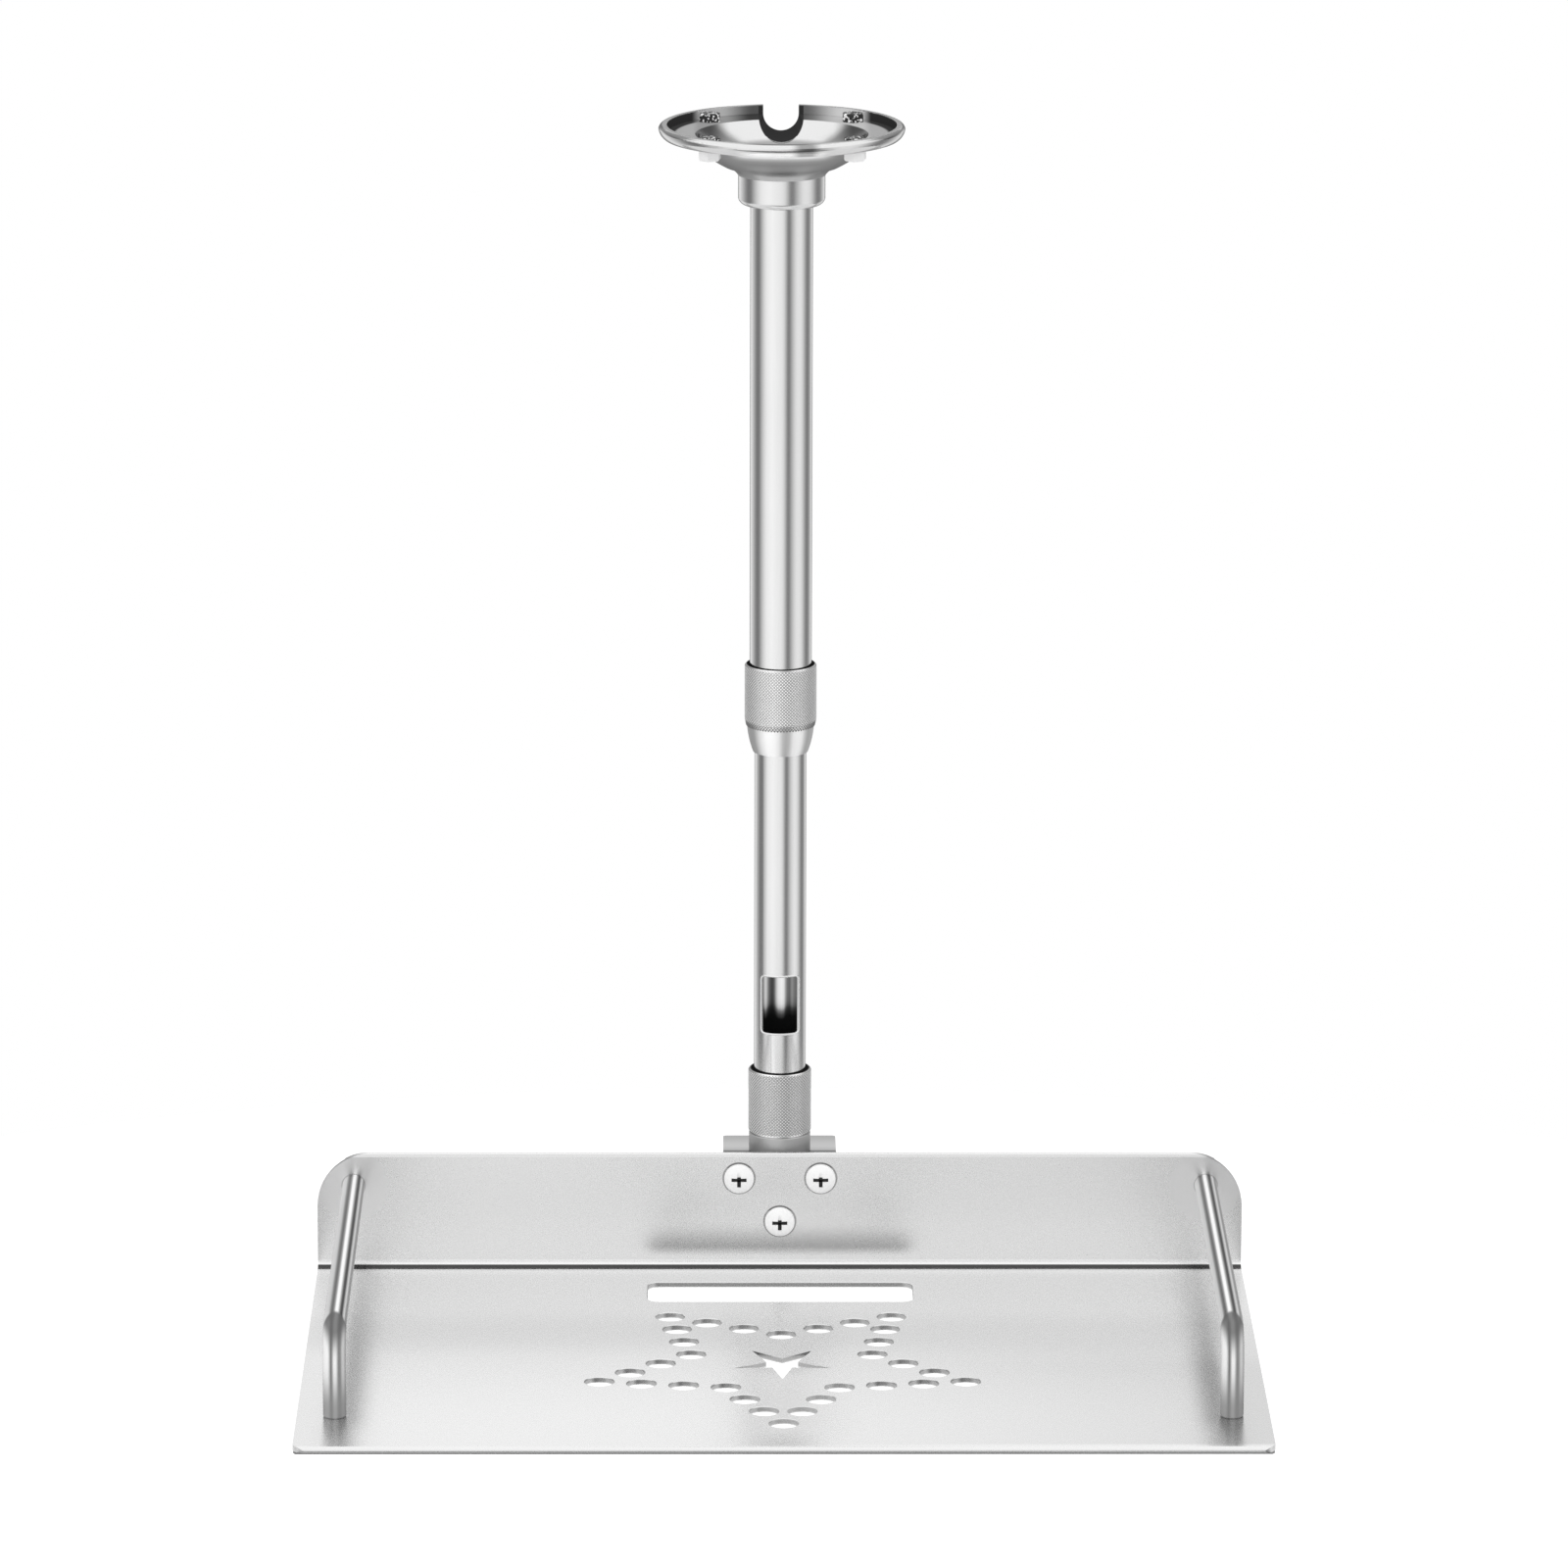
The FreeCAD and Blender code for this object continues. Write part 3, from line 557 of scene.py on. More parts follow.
@dataclass(frozen=True)
class RodFinish(Finish):
    """Drawn rod with painted reflections: bright and dark lines that follow it round its bend.

    Attributes:
        axis_x: distance of the rods from the middle of the tray.
        axis_z: height of the level run's axis.
        leg_y: place of the front leg's axis.
        bend: bend radius at the axis.
        radius: radius of the rod.
        foot: height of the rod's foot.
        lean: turn of the level run's lines towards the middle of the tray, in degrees.
        leg_lean: share of that turn on the leg.
        cap: grey level of the painted dark reflection at the bend.
        lower: darker grey that the painted reflections fade to at the foot.
        level: painted reflection tones round the level run by the angle from its top in degrees, to the
            right.
        leg: painted reflection tones round the leg by the angle from its front.
    """

    axis_x: float = 0.0
    axis_z: float = 0.0
    leg_y: float = 0.0
    bend: float = 14.0
    radius: float = 4.5
    foot: float = 0.0
    lean: float = 9.0
    leg_lean: float = 0.3
    cap: float = 0.13
    lower: float = 0.27
    level: Pairs = (
        (-180.0, 0.6), (-90.0, 0.70), (-62.0, 0.75), (-42.0, 0.62), (-30.0, 0.20), (-21.0, 0.12),
        (-13.0, 0.32), (-5.0, 1.0), (4.0, 1.0), (12.0, 0.40), (19.0, 0.08), (28.0, 0.06), (35.0, 0.45),
        (42.0, 0.75), (50.0, 0.45), (58.0, 0.26), (70.0, 0.40), (90.0, 0.55), (180.0, 0.6),
    )
    leg: Pairs = (
        (-180.0, 0.6), (-90.0, 0.55), (-70.0, 0.90), (-50.0, 1.0), (-34.0, 1.0), (-25.0, 0.60),
        (-18.0, 0.16), (-11.0, 0.40), (-3.0, 1.0), (8.0, 1.0), (14.0, 0.60), (21.0, 0.26),
        (31.0, 0.30), (40.0, 0.60), (50.0, 0.70), (62.0, 0.50), (74.0, 0.40), (90.0, 0.50),
        (180.0, 0.6),
    )

    def marked(self, at: Place, tint: Socket) -> Socket:
        """Lay the painted reflection lines along the rod, with a painted dark cap at the bend, fading to a
        darker plain grey at the foot.

        Args:
            at: place on a rail.
            tint: colour of the bare rod.

        Returns:
            The colour with its lines.
        """
        side = at.x.graph.math("SIGN", at.x)
        across = at.x - side * self.axis_x
        ahead = (self.leg_y + self.bend - at.y).at_least(0.0)
        rise = (at.z - (self.axis_z - self.bend)).at_least(0.0)
        angle = across.degrees(ahead.reach(rise) - self.bend)
        turned = ahead.degrees(rise)
        lean = side * self.lean
        level = (angle + lean).ramp(self.level)
        leg = (angle + self.leg_lean * lean).ramp(self.leg)
        lines = turned.smooth(16.0, 34.0).between(level, leg)
        bow = across * across / self.radius ** 2
        cap = (turned - 16.0 * bow).smooth(4.0, 14.0) * (1.0 - (turned + 36.0 * bow).smooth(44.0, 84.0))
        lines = (0.9 * cap).between(lines, self.cap)
        lower = 1.0 - (at.z - self.foot).smooth(4.0, 22.0)
        return tint.toned((0.85 * lower).between(lines, self.lower))

    @classmethod
    def on_rails(cls) -> "RodFinish":
        """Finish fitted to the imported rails.

        Returns:
            The finish with the places of the rods.
        """
        low, high = box_mm("right_rail")
        radius = (high.x - low.x) / 2.0
        return cls(
            # Not metal and glowing a little, as painted light, so that the painted reflections show.
            "polished_rod", 1.0, 0.40, Grain.BLASTED, pitch=1.0, depth=0.001, mottle=0.01, metallic=0.0,
            gloss=0.1, glow=0.15,
            axis_x=(high.x + low.x) / 2.0, axis_z=high.z - radius, leg_y=low.y + radius,
            radius=radius, foot=low.z,
        )


@dataclass(frozen=True)
class BandFinish(Finish):
    """Finish with painted reflections in pale and dark bands round the pole, the same before and behind, and
    painted shade in knurl roots and collar mouths.

    Attributes:
        bands: painted reflection tones by the angle from the front in degrees, to the right.
        root: radius at which the painted shade is darkest; 0 where it does not change with the radius.
        crest: radius at which it is palest.
        root_shade: tone of the painted shade at the root.
        mouths: heights and radii of collars whose open upper ends are painted dark as shade.
        mouth_shade: grey level of the painted shade in those ends.
    """

    bands: Pairs = (
        (-90.0, 0.30), (-66.0, 0.28), (-54.0, 0.32), (-46.0, 0.52), (-38.0, 0.75), (-26.0, 0.98),
        (-13.0, 0.98), (-4.0, 0.80), (4.0, 0.50), (9.0, 0.42), (15.0, 0.48), (23.0, 0.80),
        (34.0, 0.88), (41.0, 0.78), (48.0, 0.52), (55.0, 0.37), (66.0, 0.40), (90.0, 0.40),
    )
    root: float = 0.0
    crest: float = 0.0
    root_shade: float = 0.22
    mouths: Pairs = ()
    mouth_shade: float = 0.015

    def marked(self, at: Place, tint: Socket) -> Socket:
        """Lay the painted reflection bands over the colour and paint shade into roots and mouths.

        Args:
            at: place on the collar.
            tint: colour without bands.

        Returns:
            The colour with its bands.
        """
        folded = (at.x.degrees(at.y * -1.0) / 180.0 + 1.5) % 1.0
        colour = tint.toned((180.0 * folded - 90.0).ramp(self.bands))
        reach = at.x.reach(at.y)
        # Painted shade: the knurl darker down at its roots than at its crests.
        if self.crest > self.root:
            rise = reach.smooth(self.root, self.crest)
            colour = (1.0 - rise).between(colour, colour.toned(self.root_shade))
        # Painted shade: the open upper ends of the collars dark, where the tubes go in.
        for mouth, radius in self.mouths:
            hollow = (at.z - mouth).band(-6.0, 0.4, 0.1) * (1.0 - (reach - radius).smooth(-0.5, -0.35))
            colour = hollow.between(colour, self.mouth_shade)
        return colour

    @classmethod
    def on_collars(cls) -> "BandFinish":
        """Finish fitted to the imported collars.

        Returns:
            The finish with the places of their mouths.
        """
        tops = [box_mm(name)[1] for name in ("lock_collar", "swivel_collar")]
        return cls(
            # Not metal and glowing, as painted light, so that the painted bands show.
            "knurled_aluminium", 1.0, 0.42, Grain.TURNED, pitch=0.4, depth=0.002, mottle=0.02, metallic=0.0,
            gloss=0.2, glow=0.3, mouths=tuple((high.z, high.x) for high in tops),
        )


@dataclass(frozen=True)
class CupFinish(Finish):
    """Cast cup, polished outside and dull inside, with painted shade in its inner corners, channel and rim,
    painted reflections on its belly and painted glow and highlights.

    Attributes:
        shelf_top: height of the bolt shelf.
        wall_reach: distance to the side from which the painted shade on the rim's inner wall is darkest.
        bowl_reach: distance to the side at which the bowl's painted shade is darkest.
        split_radius: radius between the bowl's inside and outside, at the shelf.
        split_slope: how fast that radius shrinks with the depth.
        rim_radius: radius of the rim's inner wall.
        channel_width: half the width of the cable channel.
        channel_start: distance from the pole to the channel's inner end.
        channel_bottom: height of the channel's floor.
        channel_shade: grey level of the painted shade in the channel.
        flank_reflection: tone of the painted dark reflection on the bowl's flanks outside.
        belly: painted reflection tones down the outside of the bowl by height.
    """

    shelf_top: float = -3.7
    wall_reach: float = 34.0
    bowl_reach: float = 29.0
    split_radius: float = 36.3
    split_slope: float = 1.6
    rim_radius: float = 46.0
    channel_width: float = 8.9
    channel_start: float = 25.1
    channel_bottom: float = -11.6
    channel_shade: float = 0.03
    flank_reflection: float = 0.46
    belly: Pairs = (
        (-20.0, 0.8), (-18.3, 0.8), (-17.2, 0.55), (-15.6, 0.30), (-14.0, 0.46), (-12.6, 0.46),
        (-11.2, 0.40), (-9.6, 0.50), (-8.6, 0.74), (-7.6, 1.0), (-6.6, 1.19), (-5.4, 1.19),
        (-4.9, 1.0), (0.0, 1.0),
    )

    def marked(self, at: Place, tint: Socket) -> Socket:
        """Paint shade into the inside and onto the rim's flat ring, and reflections onto the belly of the
        bowl.

        Args:
            at: place on the cup.
            tint: colour of the bare casting.

        Returns:
            The shaded colour.
        """
        side = at.x.abs()
        above = at.z - self.shelf_top
        # Painted shade: the bowl darker to the sides and low down; the shelf and the rim's inner wall darkest
        # in the middle, lighter to the sides and to the right; the channel near black.
        bowl = 1.0 - 0.78 * side.smooth(0.7 * self.bowl_reach, self.bowl_reach)
        bowl = bowl * (1.0 - 0.5 * at.z.smooth(-9.6, -11.2))
        right = at.x.smooth(4.0, 20.0)
        end = (side - self.wall_reach).smooth(-2.0, 2.0)
        shelf = 0.04 + 0.22 * side.smooth(12.0, 24.0) + 0.18 * right
        shelf = end.blend(shelf, 0.34 - 0.3 * at.x.reach(at.y).smooth(41.8, 43.2))
        wall = end.blend(0.09 + 0.34 * side.smooth(11.0, 25.0) + 0.14 * right, 0.025)
        upper = above.smooth(0.1, 0.3).blend(shelf, wall)
        channel = self._channel(at)
        inside = channel.blend(above.smooth(-0.1, -0.4).blend(upper, bowl), self.channel_shade)
        tone = self._inner(at).at_least(channel).blend(self._belly(at), inside)
        # Painted shade on the rim's flat ring, darkest in front and behind.
        return tint.toned(self._ring(at).blend(tone, 0.20 + 0.74 * side.smooth(7.0, 26.0)))

    def plated(self, at: Place) -> Socket:
        """Bare metal everywhere but on the shelf, the rim's inner wall and the channel.

        Args:
            at: place on the cup.

        Returns:
            The share of bare metal.
        """
        ring = self._ring(at)
        upper = (at.z - self.shelf_top).smooth(-0.4, -0.1) * (1.0 - ring) * self._inner(at)
        land = ring * (1.0 - at.x.abs().smooth(7.0, 26.0))
        return 1.0 - upper.at_least(self._channel(at)).at_least(land)

    def painted_glow(self, at: Place, tint: Socket) -> Socket:
        """Painted glow of what is not bare metal, and painted highlights on the bowl's front under the rim
        and on the rim's lip.

        Args:
            at: place on the cup.
            tint: colour of the surface.

        Returns:
            The colour of the glow.
        """
        front = 1.0 - (at.x / at.y).abs().smooth(0.3, 0.75)
        belly = at.z.band(-8.6, -4.9, 1.2) * front * (1.0 - self._inner(at))
        lip = at.z.band(-5.4, -3.2, 0.6) * (at.y * -1.0).smooth(44.0, 46.5)
        return tint.toned(1.0 - self.plated(at) + 0.3 * belly + 0.6 * lip)

    def worn(self, at: Place, roughness: Socket) -> Socket:
        """Dull the belly of the bowl."""
        lower = 1.0 - at.z.smooth(-7.0, -5.2)
        return roughness + 0.22 * lower * (1.0 - self._inner(at))

    def _ring(self, at: Place) -> Socket:
        """Mask that is 1 on the rim's flat ring."""
        return at.z.smooth(-0.25, -0.1)

    def _channel(self, at: Place) -> Socket:
        """Mask that is 1 in the cable channel.

        Args:
            at: place on the cup.

        Returns:
            The mask.
        """
        sunk = (self.channel_bottom + self.channel_width - at.z).at_least(0.0)
        across = 1.0 - (at.x.reach(sunk) - self.channel_width).smooth(0.05, 0.2)
        return across * (at.y - self.channel_start).smooth(0.0, 0.3)

    def _inner(self, at: Place) -> Socket:
        """Mask that is 1 inside the cup.

        Args:
            at: place on the cup.

        Returns:
            The mask.
        """
        reach = at.x.reach(at.y)
        sunk = (self.shelf_top - at.z).at_least(0.0)
        bowl = 1.0 - (reach + sunk * self.split_slope - self.split_radius).smooth(0.0, 0.4)
        above = (at.z - self.shelf_top).smooth(-0.3, -0.1)
        return bowl.at_least(above * (1.0 - (reach - self.rim_radius).smooth(-0.1, 0.1)))

    def _belly(self, at: Place) -> Socket:
        """Painted reflections on the outside, brightest under the rim in front and behind.

        Args:
            at: place on the cup.

        Returns:
            The tone.
        """
        reach = at.x.reach(at.y)
        flank = (at.x.abs() / reach).smooth(0.42, 0.64) * (1.0 - at.z.smooth(-5.3, -4.9))
        streak = at.x.degrees(at.y * -1.0).band(3.0, 19.0, 6.0) * reach.smooth(46.5, 47.0)
        return flank.blend(at.z.ramp(self.belly), self.flank_reflection) * (1.0 - 0.55 * streak)


@dataclass(frozen=True)
class TubeFinish(Finish):
    """Satin tube, painted dark inside as shade, with painted light that falls in through the cable window and
    fades down the bore.

    Attributes:
        bore: radius below which a surface counts as inside.
        window_top: height of the window's top.
        window_sill: height of its sill.
        sight: how much lower the bore is seen than the window in front of it.
        sag: how much sooner the dark streaks lose their painted light.
        depths: painted light on the bore by the share of the window's height above the sill.
        streaks: painted light across the bore, by millimetres to the right.
    """

    bore: float = 9.6
    window_top: float = 0.0
    window_sill: float = 0.0
    sight: float = 4.8
    sag: float = 0.12
    depths: Pairs = (
        (0.0, 0.0), (0.22, 0.0), (0.30, 0.06), (0.36, 0.2), (0.42, 0.6), (0.48, 0.82), (0.58, 0.95),
        (1.0, 1.0),
    )
    streaks: Pairs = (
        (-8.0, 0.20), (-6.6, 0.24), (-5.9, 0.62), (-5.4, 0.50), (-4.7, 0.20), (-4.0, 0.08),
        (-3.0, 0.04), (-2.2, 0.10), (-1.3, 0.50), (-0.6, 0.74), (0.8, 0.84), (1.7, 0.72), (2.4, 0.32),
        (3.1, 0.15), (4.0, 0.11), (5.0, 0.25), (5.7, 0.18), (6.4, 0.12), (8.0, 0.12),
    )

    def marked(self, at: Place, tint: Socket) -> Socket:
        """Paint shade on the inside."""
        return self._inside(at).between(tint, 0.02)

    def plated(self, at: Place) -> Socket:
        """Bare metal outside, dull inside."""
        return 1.0 - self._inside(at)

    def painted_glow(self, at: Place, tint: Socket) -> Socket:
        """Painted light that falls in through the window and fades down the bore, though the bore is no lamp.

        Args:
            at: place on the tube.
            tint: colour of the surface; not used.

        Returns:
            The painted light on the bore.
        """
        share = (at.z + self.sight - self.window_sill) / (self.window_top - self.window_sill)
        streak = at.x.ramp(self.streaks)
        light = (share - self.sag * (1.0 - streak)).ramp(self.depths)
        return streak * light * self._inside(at) * (1.0 - share.smooth(1.0, 1.6))

    def _inside(self, at: Place) -> Socket:
        """Mask that is 1 on the bore."""
        return 1.0 - (at.x.reach(at.y) - self.bore).smooth(0.0, 0.3)


@dataclass(frozen=True)
class BracketFinish(Finish):
    """Plated plate with painted shade: a dark strip where it runs in behind the tray's wall, and darker near
    the wall and towards its back edge than in its middle.

    Attributes:
        top: height of the plate's upper face.
        shadow: where the painted shadow strip along the wall ends.
        middle: where the plate's painted shade is lightest.
        back: its back edge.
    """

    top: float = 0.0
    shadow: float = -2.4
    middle: float = 4.0
    back: float = 19.3

    def marked(self, at: Place, tint: Socket) -> Socket:
        """Paint shade on the plate from the wall to its back edge.

        Args:
            at: place on the bracket.
            tint: colour of the bare plate.

        Returns:
            The shaded colour.
        """
        strip = (1.0 - (at.y - self.shadow).smooth(-0.3, 0.5)) * (at.z - self.top).smooth(-0.6, -0.3)
        near = 1.0 - at.y.smooth(self.shadow, self.middle)
        colour = (0.3 * at.y.smooth(self.middle, self.back) + 0.22 * near).between(tint, 0.1)
        return (0.75 * strip).between(colour, 0.05)


@dataclass(frozen=True)
class SpeckFinish(Finish):
    """Dark surface, a painted dark reflection, with pale specks that are painted glints.

    Attributes:
        speck: size of a speck.
        pale: grey level of the painted glints.
    """

    speck: float = 1.1
    pale: float = 0.75

    def marked(self, at: Place, tint: Socket) -> Socket:
        """Scatter the painted glints over the dark surface."""
        specks = at.whole.graph.noise(at.whole, 1.0 / (self.speck * MM), 1.0)
        return specks.smooth(0.56, 0.65).between(tint, self.pale)


WINDOW_WIDTH = 13.9 * MM
WINDOW_HEIGHT = 24.3 * MM
WINDOW_RISE = 26.4 * MM
WINDOW_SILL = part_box("lower_tube")[0].z + WINDOW_RISE

# Where a finish has a glow, that glow is painted light.
FINISHES = (
    CupFinish(
        "cast_aluminium", 0.84, 0.16, Grain.CAST, pitch=1.2, depth=0.003, mottle=0.02, gloss=0.0, glow=0.6
    ),
    Finish("turned_aluminium", 0.88, 0.16, Grain.TURNED, pitch=0.4, depth=0.003),
    TubeFinish(
        "satin_tube", 0.90, 0.14, Grain.DRAWN, pitch=0.5, depth=0.002, glow=1.0,
        window_top=(WINDOW_SILL + WINDOW_HEIGHT) / MM, window_sill=WINDOW_SILL / MM,
    ),
    BandFinish.on_collars(),
    SheetFinish.on_tray(),
    RodFinish.on_rails(),
    BracketFinish(
        "bracket_steel", 0.64, 0.34, Grain.ROLLED, pitch=0.6, depth=0.004, top=box_mm("tray_bracket")[1].z
    ),
    Finish("turned_steel", 0.66, 0.50, Grain.BLASTED, pitch=0.7, depth=0.030, mottle=0.06),
    # Screw heads not metal and glowing a little, as painted light.
    Finish(
        "screw_steel", 0.94, 0.45, Grain.TURNED, pitch=0.4, depth=0.002, mottle=0.01, metallic=0.0, gloss=0.3,
        glow=0.2,
    ),
    Finish("black_polymer", 0.03, 0.48, Grain.BLASTED, pitch=0.5, depth=0.010, mottle=0.1, metallic=0.0),
)
# Bolt heads painted white and glowing, a painted highlight, while the nuts of the same steel are painted
# dark.
BOLTS = Finish(
    "screw_steel", 1.0, 0.45, Grain.BLASTED, pitch=0.6, depth=0.002, mottle=0.02, metallic=0.0, gloss=0.3,
    glow=0.15, name="bolts",
)
# Nuts painted dark as their dark reflection, with painted glints, and glowing a little as painted light.
NUTS = SpeckFinish(
    "screw_steel", 0.03, 0.4, Grain.CAST, pitch=1.6, depth=0.050, mottle=0.2, metallic=0.0, gloss=0.1,
    glow=0.4, name="nuts",
)
BRIGHT_EDGE = Finish(
    "satin_tube", 0.98, 0.40, Grain.BLASTED, pitch=0.6, depth=0.001, mottle=0.01, name="bright_edge"
)
# Painted shade: near black for the plates that stand for the shade in the screws' cross recesses.
RECESS_SHADE = Finish(
    "screw_steel", 0.02, 0.60, Grain.BLASTED, pitch=0.5, depth=0.004, mottle=0.1, metallic=0.0, gloss=0.3,
    name="recess",
)
# Painted reflections: tones round the two knurls by the angle from the front.
LOCK_REFLECTION_BANDS = (
    (-90.0, 0.50), (-60.0, 0.60), (-35.0, 0.84), (-12.0, 1.0), (5.0, 0.92), (20.0, 0.80), (45.0, 0.66),
    (70.0, 0.60), (90.0, 0.55),
)
SWIVEL_REFLECTION_BANDS = (
    (-90.0, 0.53), (-57.0, 0.67), (-41.0, 0.66), (-28.0, 0.70), (-16.0, 0.68), (5.0, 0.66),
    (16.0, 0.60), (41.0, 0.60), (57.0, 0.62), (90.0, 0.55),
)


class NodePiece:
    """A mesh piece that a geometry node tree makes from named sizes."""

    def __init__(self, name: str, source: Any, keys: Sequence[str], **more: float) -> None:
        """Start a tree.

        Args:
            name: name of the piece.
            source: the sub-assembly that it belongs to.
            keys: fields of the sub-assembly that become named inputs of the tree.
            more: further named inputs, which follow from those fields.
        """
        self.name = name
        self.sizes = {**{key: getattr(source, key) for key in keys}, **more}
        self.tree = bpy.data.node_groups.new(name + "_nodes", "GeometryNodeTree")
        self.graph = Graph(self.tree)
        for key in self.sizes:
            self.tree.interface.new_socket(key, in_out="INPUT", socket_type="NodeSocketFloat")
        self.tree.interface.new_socket("Geometry", in_out="OUTPUT", socket_type="NodeSocketGeometry")
        self.inputs = self.graph.add("NodeGroupInput")

    def __getitem__(self, key: str) -> Socket:
        """A named input of the tree."""
        return self.inputs.out(key)

    def shape(self, kind: str, **inputs: Any) -> Socket:
        """Output of a geometry node, with its inputs by name."""
        named = {key.replace("_", " ").title(): value for key, value in inputs.items()}
        return self.graph.add("GeometryNode" + kind, None, named)

    def vector(self, x: Number = 0.0, y: Number = 0.0, z: Number = 0.0) -> Socket:
        """Vector of three numbers."""
        return self.graph.add("ShaderNodeCombineXYZ", None, {0: x, 1: y, 2: z})

    def raised(self, shape: Socket, height: Number, turn: Sequence[float] = (0.0, 0.0, 0.0)) -> Socket:
        """Shape turned by fixed angles and then raised."""
        return self.shape("Transform", geometry=shape, translation=self.vector(z=height), rotation=turn)

    def joined(self, shapes: Sequence[Socket]) -> Socket:
        """Several shapes as one.

        Args:
            shapes: the shapes, in order.

        Returns:
            All of them.
        """
        node = self.tree.nodes.new("GeometryNodeJoinGeometry")
        for shape in reversed(shapes):
            self.tree.links.new(shape.socket, node.inputs[0])
        return Socket(self.graph, node.outputs[0])

    def finish(self, shape: Socket, finish: Finish, body: str) -> bpy.types.Object:
        """End the tree, evaluate it and keep the plain mesh.

        Args:
            shape: the geometry, which may hold instances.
            finish: its finish.
            body: the CAD body that carries it.

        Returns:
            The piece, riding on its body.
        """
        real = self.shape("RealizeInstances", geometry=shape)
        dressed = self.shape("SetMaterial", geometry=real, material=finish.material())
        self.graph.add("NodeGroupOutput", None, {"Geometry": dressed})
        piece = bpy.data.objects.new(self.name, bpy.data.meshes.new(self.name))
        bpy.context.scene.collection.objects.link(piece)
        modifier = piece.modifiers.new("shape", "NODES")
        modifier.node_group = self.tree
        for item in self.tree.interface.items_tree:
            if item.item_type == "SOCKET" and item.in_out == "INPUT":
                modifier[item.identifier] = float(self.sizes[item.name])
        evaluated = piece.evaluated_get(bpy.context.evaluated_depsgraph_get())
        mesh = bpy.data.meshes.new_from_object(evaluated)
        piece.modifiers.clear()
        piece.data = mesh
        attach(piece, body)
        LOG.info("%s: %d faces", self.name, len(mesh.polygons))
        return piece


HEXAGON_INPUTS = ("circle", "count", "thread", "across_flats", "chamfer", "chamfer_top")


@dataclass
class CeilingCup:
    """Cup on the ceiling with its bolts.

    Attributes:
        circle: diameter of the bolt circle.
        count: number of bolts.
        shelf_top: height of the bolt shelf.
        shelf_bottom: height of its underside.
        thread: diameter of the bolt's thread.
        across_flats: width of heads and nuts.
        head_height: height of a head.
        nut_height: height of a nut.
        chamfer: height of the chamfer, as a share of the head's or nut's.
        chamfer_top: width at the chamfer's end, as a share of the full width.
        end_length: length of the thread end, as a share of the nut's height.
        end_rise: height of its middle above the shelf, as a share of the nut's height.
        swing: how far heads and nuts are turned at random, either way.
    """

    circle: float = 81.0 * MM
    count: int = 4
    shelf_top: float = -3.7 * MM
    shelf_bottom: float = -5.1 * MM
    thread: float = 5.0 * MM
    across_flats: float = 8.0 * MM
    head_height: float = 4.4 * MM
    nut_height: float = 3.4 * MM
    chamfer: float = 0.14
    chamfer_top: float = 0.88
    end_length: float = 0.4
    end_rise: float = 0.83
    swing: float = 0.2

    def bolts(self) -> bpy.types.Object:
        """Hexagon bolts with their heads under the shelf.

        Returns:
            The bolts as one piece.
        """
        length = self.shelf_top + 0.5 * self.nut_height - self.shelf_bottom
        keys = (*HEXAGON_INPUTS, "shelf_bottom", "head_height")
        piece = NodePiece("ceiling_bolts", self, keys, length=length)
        bottom = piece["shelf_bottom"]
        head = self._hexagon(piece, piece["head_height"], bottom - piece["head_height"], downward=True)
        radius = piece["thread"] / 2.0
        shank = piece.shape("MeshCylinder", vertices=32, radius=radius, depth=piece["length"])
        shank = piece.raised(shank, bottom + piece["length"] / 2.0)
        return piece.finish(self._ring(piece, [head, shank], BOLT_SEED), BOLTS, "ceiling_mount")

    def nuts(self) -> bpy.types.Object:
        """Hexagon nuts and thread ends on the shelf.

        Returns:
            The nuts as one piece.
        """
        keys = (*HEXAGON_INPUTS, "shelf_top", "nut_height", "end_length", "end_rise")
        piece = NodePiece("ceiling_nuts", self, keys)
        height = piece["nut_height"]
        nut = self._hexagon(piece, height, piece["shelf_top"], downward=False)
        radius = piece["thread"] / 2.0
        end = piece.shape("MeshCylinder", vertices=24, radius=radius, depth=height * piece["end_length"])
        end = piece.raised(end, piece["shelf_top"] + height * piece["end_rise"])
        return piece.finish(self._ring(piece, [nut, end], NUT_SEED), NUTS, "ceiling_mount")

    def _ring(self, piece: NodePiece, shapes: Sequence[Socket], seed: int) -> Socket:
        """Copies of some shapes on the bolt circle, each a little turned.

        Args:
            piece: the piece they belong to.
            shapes: what is copied.
            seed: seed of the turns.

        Returns:
            The copies.
        """
        angle = (piece.shape("InputIndex") + 0.5) * math.tau / piece["count"]
        radius = piece["circle"] / 2.0
        place = piece.vector(radius * angle.cos(), radius * angle.sin())
        points = piece.shape("Points", count=piece["count"], position=place)
        swing = {2: -self.swing, 3: self.swing, "Seed": seed}
        turn = piece.graph.add("FunctionNodeRandomValue", {"data_type": "FLOAT"}, swing, output=1)
        shape = piece.joined(shapes)
        return piece.shape("InstanceOnPoints", points=points, instance=shape, rotation=piece.vector(z=turn))

    def _hexagon(self, piece: NodePiece, height: Socket, bottom: Socket, downward: bool) -> Socket:
        """Hexagonal block with a chamfer at its free end.

        Args:
            piece: the piece it belongs to.
            height: its height.
            bottom: height of its underside.
            downward: whether the free end is the lower one.

        Returns:
            The block.
        """
        corner = piece["across_flats"] / math.sqrt(3.0)
        chamfer = height * piece["chamfer"]
        block = piece.shape("MeshCylinder", vertices=6, radius=corner, depth=height - chamfer)
        top = corner * piece["chamfer_top"]
        cap = piece.shape("MeshCone", vertices=6, radius_top=top, radius_bottom=corner, depth=chamfer)
        shape = piece.joined([block, piece.raised(cap, (height - chamfer) * 0.5)])
        flip = math.pi if downward else 0.0
        middle = (height + chamfer) * 0.5 if downward else (height - chamfer) * 0.5
        return piece.raised(shape, bottom + middle, (flip, 0.0, math.pi / 6.0))

    def build(self) -> None:
        """Make the cup's own pieces."""
        self.bolts()
        self.nuts()


